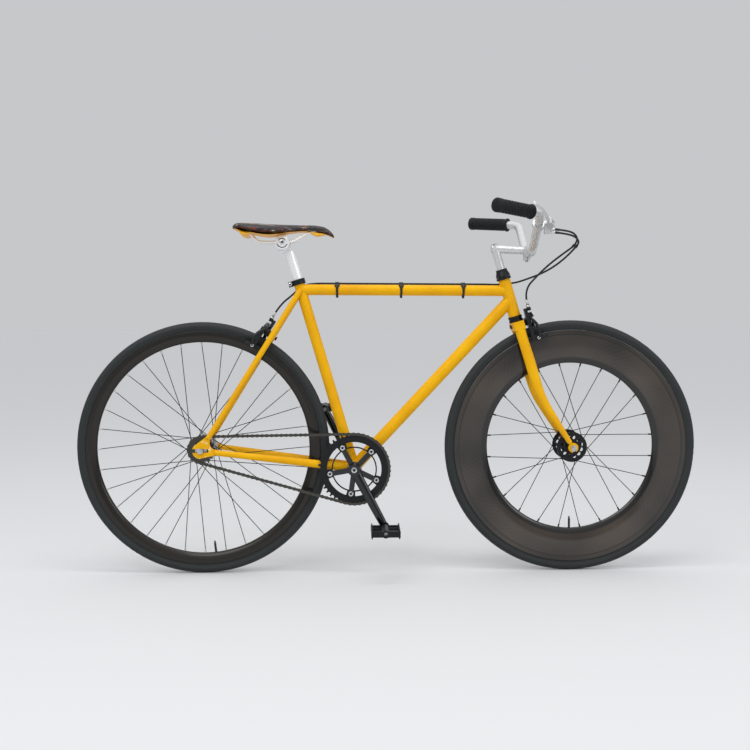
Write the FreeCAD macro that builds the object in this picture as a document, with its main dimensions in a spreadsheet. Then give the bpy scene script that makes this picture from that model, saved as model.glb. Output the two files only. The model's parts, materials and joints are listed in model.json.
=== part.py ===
"""Fixed gear bicycle with a flat amber frame, swept-back bar and one dual-cable brake lever.

Frame of the part: +X forwards, +Y to the rider's left, +Z up, origin on the ground midway
between the two axles. Millimetres and degrees throughout.
"""

import FreeCAD
import Part

import math
import os
from types import SimpleNamespace

import Sketcher
from FreeCAD import Placement, Rotation, Vector

# Driving dimensions, one cell each.
SIZES = {
    "wheelbase": 980,
    "tyre_radius": 336,
    "tyre_width": 25,
    "tyre_wall": 2.2,
    "bead_depth": 6,
    "rim_seat_radius": 311,
    "rim_width": 23,
    "rim_wall": 1.8,
    "rim_lip": 2.2,
    "rim_channel_depth": 6.5,
    "brake_track": 12,
    "front_rim_depth": 89,
    "rear_rim_depth": 29,
    "tube_radius": 9.5,
    "tube_wall": 1,
    "valve_radius": 3,
    "valve_reach": 24,
    "front_valve_angle": -90,
    "rear_valve_angle": -84,
    "spoke_radius": 1,
    "nipple_radius": 2.1,
    "nipple_length": 13,
    "front_spoke_count": 24,
    "rear_spoke_count": 32,
    "front_flange_radius": 40,
    "rear_flange_radius": 34,
    "flange_thickness": 3.6,
    "flange_margin": 5,
    "front_flange_offset": 34,
    "rear_flange_offset": 28,
    "front_hub_width": 92,
    "rear_hub_width": 106,
    "hub_core_radius": 13,
    "hub_end_radius": 15.5,
    "hub_bearing_radius": 12,
    "hub_bearing_width": 8,
    "front_axle_radius": 4.5,
    "rear_axle_radius": 5,
    "front_spacing": 100,
    "rear_spacing": 120,
    "axle_free_end": 5,
    "axle_nut_radius": 8.2,
    "axle_nut_height": 8,
    "bb_drop": 54,
    "chainstay": 405,
    "seat_angle": 73.7,
    "head_angle": 73.6,
    "fork_offset": 44,
    "fork_length": 360,
    "head_tube_length": 101,
    "head_tube_radius": 15.9,
    "head_tube_wall": 2,
    "lower_headset": 15.5,
    "upper_headset": 28,
    "headset_cup": 6,
    "headset_bearing": 3.4,
    "headset_gap": 0.3,
    "headset_radius": 19.5,
    "headset_top_radius": 15,
    "locknut_height": 5,
    "steerer_radius": 12.7,
    "steerer_wall": 1.55,
    "seat_tube_length": 521,
    "seat_tube_radius": 14.3,
    "top_tube_radius": 14.3,
    "down_tube_radius": 15.9,
    "tube_gauge": 1.2,
    "top_tube_below_seat_end": 27,
    "top_tube_below_head_end": 31,
    "down_tube_above_head_end": 44,
    "bb_shell_radius": 20,
    "bb_shell_width": 68,
    "bb_shell_wall": 2.6,
    "stay_root_offset": 20,
    "chain_stay_height": 23,
    "chain_stay_breadth": 16.5,
    "chain_stay_end": 15,
    "seat_stay_top": 16,
    "seat_stay_end": 14,
    "seat_stay_spread": 13,
    "track_end_thickness": 6,
    "track_end_radius": 21,
    "track_end_socket": 37,
    "track_slot_front": 16,
    "stay_tab": 9,
    "bridge_radius": 6.5,
    "bridge_reach": 350,
    "seatpost_radius": 13.4,
    "running_gap": 0.05,
    "seatpost_insert": 190,
    "seatpost_show": 78,
    "seatpost_wall": 2,
    "collar_height": 14,
    "collar_wall": 3.6,
    "saddle_length": 264,
    "saddle_width": 138,
    "saddle_nose_width": 38,
    "saddle_rise": 50,
    "saddle_back": 128,
    "saddle_pad": 26,
    "shell_thickness": 2.8,
    "rail_radius": 3.5,
    "rail_spacing": 44,
    "rail_rise": 17.2,
    "crown_width": 78,
    "crown_depth": 31,
    "crown_height": 22,
    "tyre_clearance": 5,
    "blade_depth": 28,
    "blade_breadth": 20,
    "blade_tip": 13,
    "blade_wall": 1.5,
    "blade_bend_angle": 16,
    "blade_bend_radius": 250,
    "fork_tip_thickness": 6,
    "fork_tip_radius": 13,
    "quill_radius": 11.1,
    "quill_rise": 56,
    "quill_insert": 60,
    "stem_reach": 90,
    "stem_drop": 5,
    "stem_arm_radius": 10,
    "bar_clamp_wall": 4,
    "bar_clamp_width": 38,
    "bar_radius": 11.1,
    "bar_wall": 1.8,
    "bar_sleeve_radius": 12.7,
    "bar_half_flat": 60,
    "bar_bend_offset": 185,
    "bar_rise": 82,
    "bar_lower_bend": 60,
    "bar_upper_bend": 45,
    "bar_sweep_back": 124,
    "bar_sweep_out": 97,
    "bar_sweep_rise": 13,
    "grip_length": 127,
    "grip_radius": 16.5,
    "grip_flange": 19,
    "crank_length": 170,
    "crank_angle": -62,
    "crank_inner": 49,
    "crank_thickness": 14,
    "crank_breadth": 27,
    "crank_end_breadth": 20,
    "crank_end_thickness": 11,
    "crank_splay": 9,
    "crank_boss_radius": 16,
    "pedal_boss_radius": 12.5,
    "spindle_radius": 8,
    "spindle_square": 12.6,
    "chainline": 42,
    "chain_pitch": 12.7,
    "ring_teeth": 46,
    "sprocket_teeth": 17,
    "tooth_thickness": 2.9,
    "tooth_height": 2.7,
    "roller_radius": 3.9,
    "roller_clearance": 0.2,
    "chain_inner_gap": 3.4,
    "chain_plate": 1,
    "chain_plate_radius": 4.2,
    "chain_plate_waist": 2.9,
    "chain_pin_radius": 1.8,
    "chain_play": 0.15,
    "ring_bolt_radius": 65,
    "ring_bore": 56.5,
    "ring_window_inner": 60,
    "ring_window_outer": 72,
    "ring_window_span": 52,
    "ring_bolt_hole": 5,
    "spider_thickness": 5.4,
    "spider_width": 14,
    "pedal_axle_radius": 5,
    "pedal_axle_length": 96,
    "pedal_gap": 9,
    "pedal_length": 76,
    "pedal_width": 86,
    "pedal_height": 26,
    "pedal_plate": 6,
    "pedal_tooth": 4,
    "brake_reach": 45.7,
    "pad_gap": 2,
    "pad_thickness": 8.5,
    "pad_height": 9,
    "pad_length": 50,
    "arm_thickness": 9,
    "arm_width": 10,
    "caliper_bolt_radius": 3,
    "caliper_pivot_out": 22,
    "caliper_pivot_up": 6,
    "cable_radius": 2.5,
    "clip_width": 6,
    "clip_wall": 1.2,
    "lever_clamp_place": 104,
    "lever_thickness": 5,
    "lever_width": 12,
    "lever_pin_radius": 2.5,
    "barrel_radius": 3.6,
    "barrel_length": 20,
    "barrel_spacing": 7,
}

doc = FreeCAD.newDocument("fixed_gear_bike")
sheet = doc.addObject("Spreadsheet::Sheet", "Sizes")
for row, (name, value) in enumerate(SIZES.items(), start=1):
    sheet.set(f"A{row}", name)
    sheet.set(f"B{row}", str(value))
    sheet.setAlias(f"B{row}", name)
doc.recompute()


class Size:
    """A number together with the sheet expression that it comes from."""

    def __init__(self, value, text):
        self.value = float(value)
        self.text = text

    def __float__(self):
        return self.value

    def __add__(self, other):
        return Size(self.value + float(other), f"({self.text} + {words(other)})")

    def __sub__(self, other):
        return Size(self.value - float(other), f"({self.text} - {words(other)})")

    def __mul__(self, other):
        return Size(self.value * float(other), f"{self.text} * {words(other)}")

    def __truediv__(self, other):
        return Size(self.value / float(other), f"{self.text} / {words(other)}")

    def __neg__(self):
        return Size(-self.value, f"-{self.text}")


def words(number):
    """The expression text of a size, or of a plain number."""
    return number.text if isinstance(number, Size) else repr(float(number))


size = SimpleNamespace(**{name: Size(getattr(sheet, name), f"Sizes.{name}") for name in SIZES})
mm = SimpleNamespace(**{name: float(getattr(sheet, name)) for name in SIZES})
nodes = {}


def node(label, item):
    """Name a finished sub-part and list it for writing."""
    item.Label = label
    nodes[label] = item
    return item


def bind(item, **sizes):
    """Set properties, tying those that come from the sheet to their cells."""
    for name, number in sizes.items():
        setattr(item, name, float(number))
        if isinstance(number, Size):
            item.setExpression(name, number.text)
    return item


def facing(base, along, side=None):
    """Placement at base with local Z along one direction and local X near another."""
    up = Vector(along).normalize()
    hint = side if side else (Vector(0, 0, 1) if abs(up.z) < 0.9 else Vector(1, 0, 0))
    across = up.cross(hint)
    right = across.cross(up).normalize()
    return Placement(base, Rotation(right, up.cross(right), up, "ZXY"))


def rod(base, along, radius, length):
    """Round bar from base along a direction."""
    item = doc.addObject("Part::Cylinder", "Rod")
    bind(item, Radius=radius, Height=length)
    item.Placement = facing(base, along)
    return item


def cone(base, along, radius_start, radius_end, length):
    item = doc.addObject("Part::Cone", "Cone")
    bind(item, Radius1=radius_start, Radius2=radius_end, Height=length)
    item.Placement = facing(base, along)
    return item


def block(centre, along, side, length, breadth, height):
    """Box around a centre: height along one direction, length along the side direction."""
    item = doc.addObject("Part::Box", "Block")
    bind(item, Length=length, Width=breadth, Height=height)
    place = facing(centre, along, side)
    corner = Vector(-float(length) / 2, -float(breadth) / 2, -float(height) / 2)
    item.Placement = Placement(place.multVec(corner), place.Rotation)
    return item


def cut(base, *tools):
    """Base with each tool taken away in turn."""
    for tool in tools:
        item = doc.addObject("Part::Cut", "Cut")
        item.Base = base
        item.Tool = tool
        base = item
    return base


def fuse(*parts):
    item = doc.addObject("Part::MultiFuse", "Fuse")
    item.Shapes = list(parts)
    return item


def group(*parts):
    """Several separate solids that share one node."""
    item = doc.addObject("Part::Compound", "Group")
    item.Links = list(parts)
    return item


def made(shape):
    """A sub-part whose shape is worked out point by point."""
    item = doc.addObject("Part::Feature", "Made")
    item.Shape = shape
    item.Placement = Placement()
    return item


def tube(start, end, radius, wall):
    """Round tube between two points, open at both ends."""
    along = end - start
    outer = rod(start, along, radius, along.Length)
    inner = rod(start, along, radius - wall, along.Length)
    return cut(outer, inner)


def ring(base, along, outer, inner, height):
    return cut(rod(base, along, outer, height), rod(base, along, inner, height))


def oval(start, end, first, last, side):
    """Solid between two ellipses, each given as (half size along side, half size across)."""
    sections = []
    for point, (along_side, across) in ((start, first), (end, last)):
        item = doc.addObject("Part::Ellipse", "Oval")
        bind(item, MajorRadius=along_side, MinorRadius=across)
        item.Placement = facing(point, end - start, side)
        sections.append(item)
    item = doc.addObject("Part::Loft", "Taper")
    item.Sections = sections
    item.Solid = True
    item.Ruled = True
    return item


def draw(sketch, loop):
    """Draw one closed loop. A corner is (x, y), or (x, y, r) where an arc of radius r leads on.

    A positive r turns left and a negative r turns right, always by less than half a circle.
    """
    edges = []
    for corner, following in zip(loop, loop[1:] + loop[:1]):
        start = Vector(float(corner[0]), float(corner[1]), 0)
        end = Vector(float(following[0]), float(following[1]), 0)
        if len(corner) == 2:
            edges.append((sketch.addGeometry(Part.LineSegment(start, end), False), 1, 2))
            continue
        turn = math.copysign(1, float(corner[2]))
        radius = abs(float(corner[2]))
        chord = end - start
        left = Vector(-chord.y, chord.x, 0).normalize()
        reach = math.sqrt(max(radius**2 - chord.Length**2 / 4, 0))
        centre = (start + end) / 2 + left * (turn * reach)
        first, last = (start, end) if turn > 0 else (end, start)
        begin = math.atan2(first.y - centre.y, first.x - centre.x)
        finish = math.atan2(last.y - centre.y, last.x - centre.x)
        if finish < begin:
            finish += 2 * math.pi
        circle = Part.Circle(centre, Vector(0, 0, 1), radius)
        index = sketch.addGeometry(Part.ArcOfCircle(circle, begin, finish), False)
        edges.append((index, 1, 2) if turn > 0 else (index, 2, 1))
        rule = sketch.addConstraint(Sketcher.Constraint("Radius", index, radius))
        if isinstance(corner[2], Size):
            text = corner[2].text if turn > 0 else (-corner[2]).text
            sketch.setExpression(f"Constraints[{rule}]", text)
    for this, following in zip(edges, edges[1:] + edges[:1]):
        sketch.addConstraint(Sketcher.Constraint("Coincident", this[0], this[2], following[0], following[1]))
    for (index, first, _), corner in zip(edges, loop):
        for kind, axis, number in (("DistanceX", -2, corner[0]), ("DistanceY", -1, corner[1])):
            if abs(float(number)) < 1e-9:
                sketch.addConstraint(Sketcher.Constraint("PointOnObject", index, first, axis))
                continue
            rule = sketch.addConstraint(Sketcher.Constraint(kind, -1, 1, index, first, float(number)))
            if isinstance(number, Size):
                sketch.setExpression(f"Constraints[{rule}]", number.text)


def sketch_on(body, role, *loops):
    """Sketch on one of the body's own planes."""
    sketch = body.newObject("Sketcher::SketchObject", "Outline")
    plane = next(item for item in body.Origin.OriginFeatures if item.Role == role)
    sketch.AttachmentSupport = [(plane, "")]
    sketch.MapMode = "FlatFace"
    for loop in loops:
        draw(sketch, loop)
    return sketch


def lathe(base, along, *loops):
    """Turned body: corners are (radius, distance along the axis)."""
    body = doc.addObject("PartDesign::Body", "Turned")
    sketch = sketch_on(body, "XZ_Plane", *loops)
    turn = body.newObject("PartDesign::Revolution", "Turn")
    turn.Profile = sketch
    turn.ReferenceAxis = (sketch, ["V_Axis"])
    turn.Angle = 360
    body.Placement = facing(base, along)
    return body


def plate(placement, thickness, *loops):
    """Flat body padded along its own Z from an outline."""
    body = doc.addObject("PartDesign::Body", "Plate")
    sketch = sketch_on(body, "XY_Plane", *loops)
    pad = body.newObject("PartDesign::Pad", "Pad")
    pad.Profile = sketch
    bind(pad, Length=thickness)
    body.Placement = placement
    return body


def pierce(body, count, *loops):
    """Cut loops right through a plate body, repeated round its own Z axis."""
    before = body.Shape.Volume
    sketch = sketch_on(body, "XY_Plane", *loops)
    pocket = body.newObject("PartDesign::Pocket", "Pocket")
    pocket.Profile = sketch
    pocket.Type = "ThroughAll"
    pocket.Reversed = True
    doc.recompute()
    pattern = body.newObject("PartDesign::PolarPattern", "Repeat")
    pattern.Originals = [pocket]
    pattern.Axis = (sketch, ["N_Axis"])
    pattern.Angle = 360
    pattern.Occurrences = count
    body.Tip = pattern
    doc.recompute()
    if body.Shape.Volume > before - 1:
        raise RuntimeError("a cut through " + body.Label + " took nothing away")


def bent_path(points, radii=None, longest=math.inf):
    """Wire of straight runs and tangent arcs, with the radii that it used.

    With no radii given, each arc takes 0.45 of its shorter run beside the corner, or the longest reach.
    """
    edges = []
    used = []
    last = points[0]
    for index in range(1, len(points) - 1):
        corner = points[index]
        back = points[index - 1] - corner
        ahead = points[index + 1] - corner
        turn = math.pi - back.getAngle(ahead)
        reach = min(0.45 * min(back.Length, ahead.Length), longest)
        if radii:
            reach = radii[index - 1] * math.tan(turn / 2)
        radius = reach / math.tan(turn / 2)
        back.normalize()
        ahead.normalize()
        start = corner + back * reach
        end = corner + ahead * reach
        inward = (back + ahead).normalize()
        middle = corner + inward * (radius / math.cos(turn / 2) - radius)
        edges.append(Part.LineSegment(last, start).toShape())
        edges.append(Part.Arc(start, middle, end).toShape())
        used.append(radius)
        last = end
    edges.append(Part.LineSegment(last, points[-1]).toShape())
    return Part.Wire(edges), used


def pipe(points, radius, radii=None, longest=math.inf):
    """Solid round bar along a bent path."""
    wire, used = bent_path(points, radii, longest)
    along = points[1] - points[0]
    section = Part.Wire(Part.Circle(points[0], along, radius).toShape())
    solid = wire.makePipeShell([section], True, False)
    expected = math.pi * radius**2 * wire.Length
    if abs(solid.Volume / expected - 1) > 0.02:
        raise RuntimeError("a bent bar has the wrong volume")
    return solid, used


def mirrored(vector):
    return Vector(vector.x, -vector.y, vector.z)


X = Vector(1, 0, 0)
Y = Vector(0, 1, 0)
Z = Vector(0, 0, 1)
SIDES = (-1, 1)

# Chain drive: the centre distance that closes the chain on whole pairs of links.
ring_pitch_radius = mm.chain_pitch / (2 * math.sin(math.pi / mm.ring_teeth))
sprocket_pitch_radius = mm.chain_pitch / (2 * math.sin(math.pi / mm.sprocket_teeth))


def chain_count(distance):
    """Links in a tight chain round both wheels at a centre distance."""
    lean = math.asin((ring_pitch_radius - sprocket_pitch_radius) / distance)
    run = distance * math.cos(lean) / mm.chain_pitch
    wrap = (math.pi + 2 * lean) * mm.ring_teeth + (math.pi - 2 * lean) * mm.sprocket_teeth
    return 2 * run + wrap / (2 * math.pi)


link_count = 2 * round(chain_count(mm.chainstay) / 2)
centre_distance = mm.chainstay
for step in range(20):
    centre_distance += (link_count - chain_count(centre_distance)) * mm.chain_pitch / 2

# Main points and directions of the frame.
front_axle = Vector(mm.wheelbase / 2, 0, mm.tyre_radius)
rear_axle = Vector(-mm.wheelbase / 2, 0, mm.tyre_radius)
bb_forward = math.sqrt(centre_distance**2 - mm.bb_drop**2)
bb = rear_axle + Vector(bb_forward, 0, -mm.bb_drop)
head_slope = math.radians(mm.head_angle)
head_up = Vector(-math.cos(head_slope), 0, math.sin(head_slope))
head_forward = Vector(math.sin(head_slope), 0, math.cos(head_slope))
head_foot = front_axle - head_forward * mm.fork_offset
seat_slope = math.radians(mm.seat_angle)
seat_up = Vector(-math.cos(seat_slope), 0, math.sin(seat_slope))
seat_back = Vector(-math.sin(seat_slope), 0, -math.cos(seat_slope))


def on_head(distance):
    """Point of the steering axis, measured from beside the front axle."""
    return head_foot + head_up * distance


def on_seat(distance):
    """Point of the seat tube's axis, measured from the crank axis."""
    return bb + seat_up * distance


head_low = mm.fork_length + mm.lower_headset
head_high = head_low + mm.head_tube_length
seat_high = mm.seat_tube_length
top_tube_rear = on_seat(seat_high - mm.top_tube_below_seat_end)
top_tube_front = on_head(head_high - mm.top_tube_below_head_end)
top_tube_along = (top_tube_front - top_tube_rear).normalize()
down_tube_front = on_head(head_low + mm.down_tube_above_head_end)

# Frame tubes, each mitred to the tube that it meets.
head_solid = rod(on_head(head_low), head_up, size.head_tube_radius, size.head_tube_length)
seat_solid = rod(bb, seat_up, size.seat_tube_radius, size.seat_tube_length)
shell_solid = rod(bb - Y * (mm.bb_shell_width / 2), Y, size.bb_shell_radius, size.bb_shell_width)
top_solid = rod(top_tube_rear, top_tube_along, size.top_tube_radius,
                (top_tube_front - top_tube_rear).Length)

head_bore = rod(on_head(head_low), head_up, size.head_tube_radius - size.head_tube_wall,
                size.head_tube_length)
node("head_tube", cut(head_solid, head_bore))
top = tube(top_tube_rear, top_tube_front, size.top_tube_radius, size.tube_gauge)
node("top_tube", cut(top, seat_solid, head_solid))
down = tube(bb, down_tube_front, size.down_tube_radius, size.tube_gauge)
node("down_tube", cut(down, shell_solid, head_solid, top_solid, seat_solid))
seat_bore = rod(bb, seat_up, size.seatpost_radius + size.running_gap, size.seat_tube_length)
SEAT_SLOT_WIDTH = 2.5
SEAT_SLOT_LENGTH = 32
seat_slot = block(on_seat(seat_high - SEAT_SLOT_LENGTH / 2) + seat_back * mm.seat_tube_radius, seat_up, Y,
                  SEAT_SLOT_WIDTH, size.seat_tube_radius, SEAT_SLOT_LENGTH)
node("seat_tube", cut(seat_solid, seat_bore, shell_solid, seat_slot))
shell_bore = rod(bb - Y * (mm.bb_shell_width / 2), Y, size.bb_shell_radius - size.bb_shell_wall,
                 size.bb_shell_width)
node("bottom_bracket_shell", cut(shell_solid, shell_bore))

# Rear triangle: tapered stays that socket over the tabs of the track ends.
stay_centre = (mm.rear_spacing + mm.track_end_thickness) / 2
chain_stay_along = (bb - rear_axle).normalize()
seat_cluster = on_seat(seat_high - mm.top_tube_below_seat_end)
seat_stay_along = (seat_cluster - rear_axle).normalize()
chain_stays = []
seat_stays = []
stay_solids = {}
STAY_CAP = 16
for side in SIDES:
    root = bb + Y * (side * mm.stay_root_offset)
    end = rear_axle + chain_stay_along * mm.track_end_socket + Y * (side * stay_centre)
    root_oval = (size.chain_stay_height / 2, size.chain_stay_breadth / 2)
    end_oval = (size.chain_stay_end / 2, size.chain_stay_end / 2)
    outer = oval(root, end, root_oval, end_oval, Z)
    hollow = oval(root, end, [item - size.tube_gauge for item in root_oval],
                  [item - size.tube_gauge for item in end_oval], Z)
    chain_stays.append(cut(outer, hollow, shell_solid, seat_solid))

    foot = rear_axle + seat_stay_along * mm.track_end_socket + Y * (side * stay_centre)
    head = seat_cluster + Y * (side * mm.seat_stay_spread)
    foot_oval = (size.seat_stay_end / 2, size.seat_stay_end / 2)
    head_oval = (size.seat_stay_top / 2, size.seat_stay_top / 2)
    stay_solids[side] = oval(foot, head, foot_oval, head_oval, X)
    cap = head - (head - foot).normalize() * STAY_CAP
    hollow = oval(foot, cap, [item - size.tube_gauge for item in foot_oval],
                  [item - size.tube_gauge for item in head_oval], X)
    seat_stays.append(cut(stay_solids[side], hollow, seat_solid))
node("chain_stays", group(*chain_stays))
node("seat_stays", group(*seat_stays))


def polar(distance, degrees):
    """Plane point at a distance and an angle."""
    turn = math.radians(degrees)
    return Vector(distance * math.cos(turn), distance * math.sin(turn), 0)


def track_end_outline():
    """Plate round the axle with one tab into each stay, seen from the right-hand side."""
    tabs = []
    for along in (chain_stay_along, seat_stay_along):
        lead = Vector(along.x, along.z, 0)
        across = Vector(-lead.y, lead.x, 0)
        shoulder = lead * mm.track_end_socket
        tip = lead * (mm.track_end_socket + mm.stay_tab)
        half_tab = across * (mm.stay_tab / 2)
        half_web = across * (mm.chain_stay_end / 2)
        tabs.append([shoulder - half_web, shoulder - half_tab, tip - half_tab,
                     tip + half_tab, shoulder + half_tab, shoulder + half_web])
    lower, upper = [[(point.x, point.y) for point in tab] for tab in tabs]
    low = polar(mm.track_end_radius, 262)
    high = polar(mm.track_end_radius, 142)
    corner = lower[-1] + (-size.track_end_radius * 0.85,)
    return [(low.x, low.y)] + lower[:-1] + [corner] + upper + [(high.x, high.y, size.track_end_radius)]


track_ends = []
SLOT_PLAY = 0.15
for side in SIDES:
    inner_face = side * mm.rear_spacing / 2
    base = rear_axle + Y * (inner_face if side < 0 else inner_face + mm.track_end_thickness)
    end_plate = plate(facing(base, -Y, X), size.track_end_thickness, track_end_outline())
    slot_reach = mm.track_slot_front + 2 * mm.track_end_radius
    slot_height = (size.rear_axle_radius + SLOT_PLAY) * 2
    middle = rear_axle + X * (mm.track_slot_front - slot_reach / 2) + Y * (side * stay_centre)
    slot = block(middle, Z, X, slot_reach, size.track_end_thickness * 2, slot_height)
    slot_end = rod(rear_axle + X * mm.track_slot_front + Y * (side * stay_centre - mm.track_end_thickness), Y,
                   size.rear_axle_radius + SLOT_PLAY, size.track_end_thickness * 2)
    track_ends.append(cut(end_plate, slot, slot_end))
node("track_ends", group(*track_ends))

# Brake mounts: one on the fork crown facing forwards, one on the seat stay bridge facing back.
bridge_centre = rear_axle + seat_stay_along * mm.bridge_reach
bridge_out = Vector(-seat_stay_along.z, 0, seat_stay_along.x)
stay_run = (seat_cluster - rear_axle).Length - mm.track_end_socket
stay_share = (mm.bridge_reach - mm.track_end_socket) / stay_run
bridge_half = stay_centre + (mm.seat_stay_spread - stay_centre) * stay_share
bridge_bar = rod(bridge_centre - Y * bridge_half, Y, size.bridge_radius, 2 * bridge_half)
bridge_boss = rod(bridge_centre - bridge_out * (mm.bridge_radius + 2), bridge_out, size.bridge_radius + 2,
                  (size.bridge_radius + 2) * 2)
BOLT_PLAY = 0.1
bridge_hole = rod(bridge_centre - bridge_out * 30, bridge_out, size.caliper_bolt_radius + BOLT_PLAY, 60)
node("brake_bridge", cut(fuse(bridge_bar, bridge_boss), bridge_hole, *stay_solids.values()))

# Seat collar round the top of the seat tube, with its pinch bolt.
collar_base = on_seat(seat_high - mm.collar_height + 1)
collar_outer = size.seat_tube_radius + size.collar_wall
EAR_DEPTH = 13
EAR_BREADTH = 15
COLLAR_SLIT = 2.5
ear_centre = collar_base + seat_up * (mm.collar_height / 2) + seat_back * (float(collar_outer) + 3)
collar_ring = rod(collar_base, seat_up, collar_outer, size.collar_height)
ears = block(ear_centre, seat_up, Y, EAR_BREADTH, EAR_DEPTH, size.collar_height)
collar_bore = rod(collar_base, seat_up, size.seat_tube_radius + size.running_gap, size.collar_height)
slit = block(ear_centre, seat_up, Y, COLLAR_SLIT, EAR_DEPTH * 2, size.collar_height)
COLLAR_BOLT = 2.5
bolt_line = ear_centre + seat_back * 2
bolt_hole = rod(bolt_line - Y * EAR_BREADTH, Y, COLLAR_BOLT + BOLT_PLAY, EAR_BREADTH * 2)
collar_band = cut(fuse(collar_ring, ears), collar_bore, slit, bolt_hole)
collar_pin = rod(bolt_line - Y * (EAR_BREADTH / 2), Y, COLLAR_BOLT, EAR_BREADTH)
collar_head = rod(bolt_line - Y * (EAR_BREADTH / 2 + 4), Y, COLLAR_BOLT * 1.8, 4)
collar_nut = rod(bolt_line + Y * (EAR_BREADTH / 2), Y, COLLAR_BOLT * 1.8, 3.5)
node("seat_collar", group(collar_band, fuse(collar_pin, collar_head, collar_nut)))

# Headset: cups pressed on the head tube, bearings and races on the steerer.
steerer_hole = size.steerer_radius + size.headset_gap
lower_cup = ring(on_head(head_low - mm.headset_cup), head_up, size.headset_radius - 1, steerer_hole,
                 size.headset_cup)
upper_cup = ring(on_head(head_high), head_up, size.headset_radius, steerer_hole, size.headset_cup)
node("headset_cups", group(lower_cup, upper_cup))
lower_bearing_base = head_low - mm.headset_cup - mm.headset_gap - mm.headset_bearing
race_height = size.lower_headset - size.headset_cup - size.headset_bearing - size.headset_gap * 2
crown_race = ring(on_head(mm.fork_length), head_up, size.headset_radius - 1, size.steerer_radius, race_height)
lower_bearing = ring(on_head(lower_bearing_base), head_up, size.headset_radius - 2, size.steerer_radius,
                     size.headset_bearing)
upper_bearing_base = head_high + mm.headset_cup + mm.headset_gap
upper_bearing = ring(on_head(upper_bearing_base), head_up, size.headset_radius - 1, size.steerer_radius,
                     size.headset_bearing)
top_race_base = upper_bearing_base + mm.headset_bearing + mm.headset_gap
top_race_height = (size.upper_headset - size.headset_cup - size.headset_bearing - size.headset_gap * 2
                   - size.locknut_height)
top_race = cut(
    cone(on_head(top_race_base), head_up, size.headset_radius, size.headset_top_radius, top_race_height),
    rod(on_head(top_race_base), head_up, size.steerer_radius, top_race_height))
locknut_base = top_race_base + float(top_race_height)
locknut = ring(on_head(locknut_base), head_up, size.headset_top_radius, size.steerer_radius,
               size.locknut_height)
node("headset_races", group(crown_race, lower_bearing, upper_bearing, top_race, locknut))
steerer_top = locknut_base + mm.locknut_height

# Fork: steerer, crown and two curved blades with slotted tips.
crown_low = mm.fork_length - mm.crown_height
steerer_base = on_head(crown_low + 4)
steerer_length = steerer_top - crown_low - 4
steerer_body = ring(steerer_base, head_up, size.steerer_radius, size.steerer_radius - size.steerer_wall,
                    steerer_length)
crown_hole = rod(on_head(mm.bridge_reach) - head_forward * 40, head_forward,
                 size.caliper_bolt_radius + BOLT_PLAY, 80)
node("steerer_tube", cut(steerer_body, crown_hole))
crown_box = block(on_head(crown_low + mm.crown_height / 2), head_up, Y, size.crown_width, size.crown_depth,
                  size.crown_height)
crown_round = doc.addObject("Part::Fillet", "Rounded")
crown_round.Base = crown_box
doc.recompute()
CROWN_FILLET = 6
upright = [index for index, edge in enumerate(crown_box.Shape.Edges, start=1)
           if abs(edge.tangentAt(edge.FirstParameter).dot(head_up)) > 0.99]
crown_round.Edges = [(index, CROWN_FILLET, CROWN_FILLET) for index in upright]
steerer_socket = rod(steerer_base, head_up, size.steerer_radius, steerer_length)
tyre_space = rod(front_axle - Y * (mm.tyre_width / 2 + mm.tyre_clearance), Y,
                 size.tyre_radius + size.tyre_clearance, size.tyre_width + size.tyre_clearance * 2)
node("fork_crown", cut(crown_round, steerer_socket, tyre_space, crown_hole))

blade_lean = math.radians(mm.blade_bend_angle)
bend_fall = mm.blade_bend_radius * math.sin(blade_lean)
bend_throw = mm.blade_bend_radius * (1 - math.cos(blade_lean))
bend_start = bend_fall + (mm.fork_offset - bend_throw) / math.tan(blade_lean)
blade_foot = mm.fork_tip_radius + 2
blade_top_offset = mm.crown_width / 2 - mm.blade_breadth / 2 + 1
blade_end_offset = (mm.front_spacing + mm.fork_tip_thickness) / 2


def blade_centre(height, side):
    """Centre of a blade and its direction at a height along the steering axis."""
    fraction = (crown_low - height) / crown_low
    offset = blade_top_offset + (blade_end_offset - blade_top_offset) * fraction
    fall = bend_start - height
    if fall <= 0:
        throw, lean = 0, 0
    elif fall < bend_fall:
        lean = math.asin(fall / mm.blade_bend_radius)
        throw = mm.blade_bend_radius * (1 - math.cos(lean))
    else:
        lean = blade_lean
        throw = bend_throw + (fall - bend_fall) * math.tan(lean)
    point = on_head(height) + head_forward * throw + Y * (side * offset)
    return point, head_up * math.cos(lean) - head_forward * math.sin(lean)


def blade_solid(side, wall):
    """Tapered oval blade, drawn in by a wall thickness."""
    straight = 0.4
    wires = []
    for height in (crown_low, (crown_low + bend_start) / 2, bend_start, bend_start - bend_fall / 2,
                   bend_start - bend_fall, (bend_start - bend_fall + blade_foot) / 2, blade_foot):
        fraction = max((crown_low - height) / (crown_low - blade_foot) - straight, 0) / (1 - straight)
        depth = mm.blade_depth + (mm.blade_tip - mm.blade_depth) * fraction - 2 * wall
        breadth = mm.blade_breadth + (mm.blade_tip - mm.blade_breadth) * fraction - 2 * wall - 0.02
        point, along = blade_centre(height, side)
        ellipse = Part.Ellipse(Vector(), depth / 2, breadth / 2).toShape()
        forward = Y.cross(along)
        ellipse.Placement = facing(point, along, forward)
        wires.append(Part.Wire(ellipse))
    return Part.makeLoft(wires, True, False)


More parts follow.
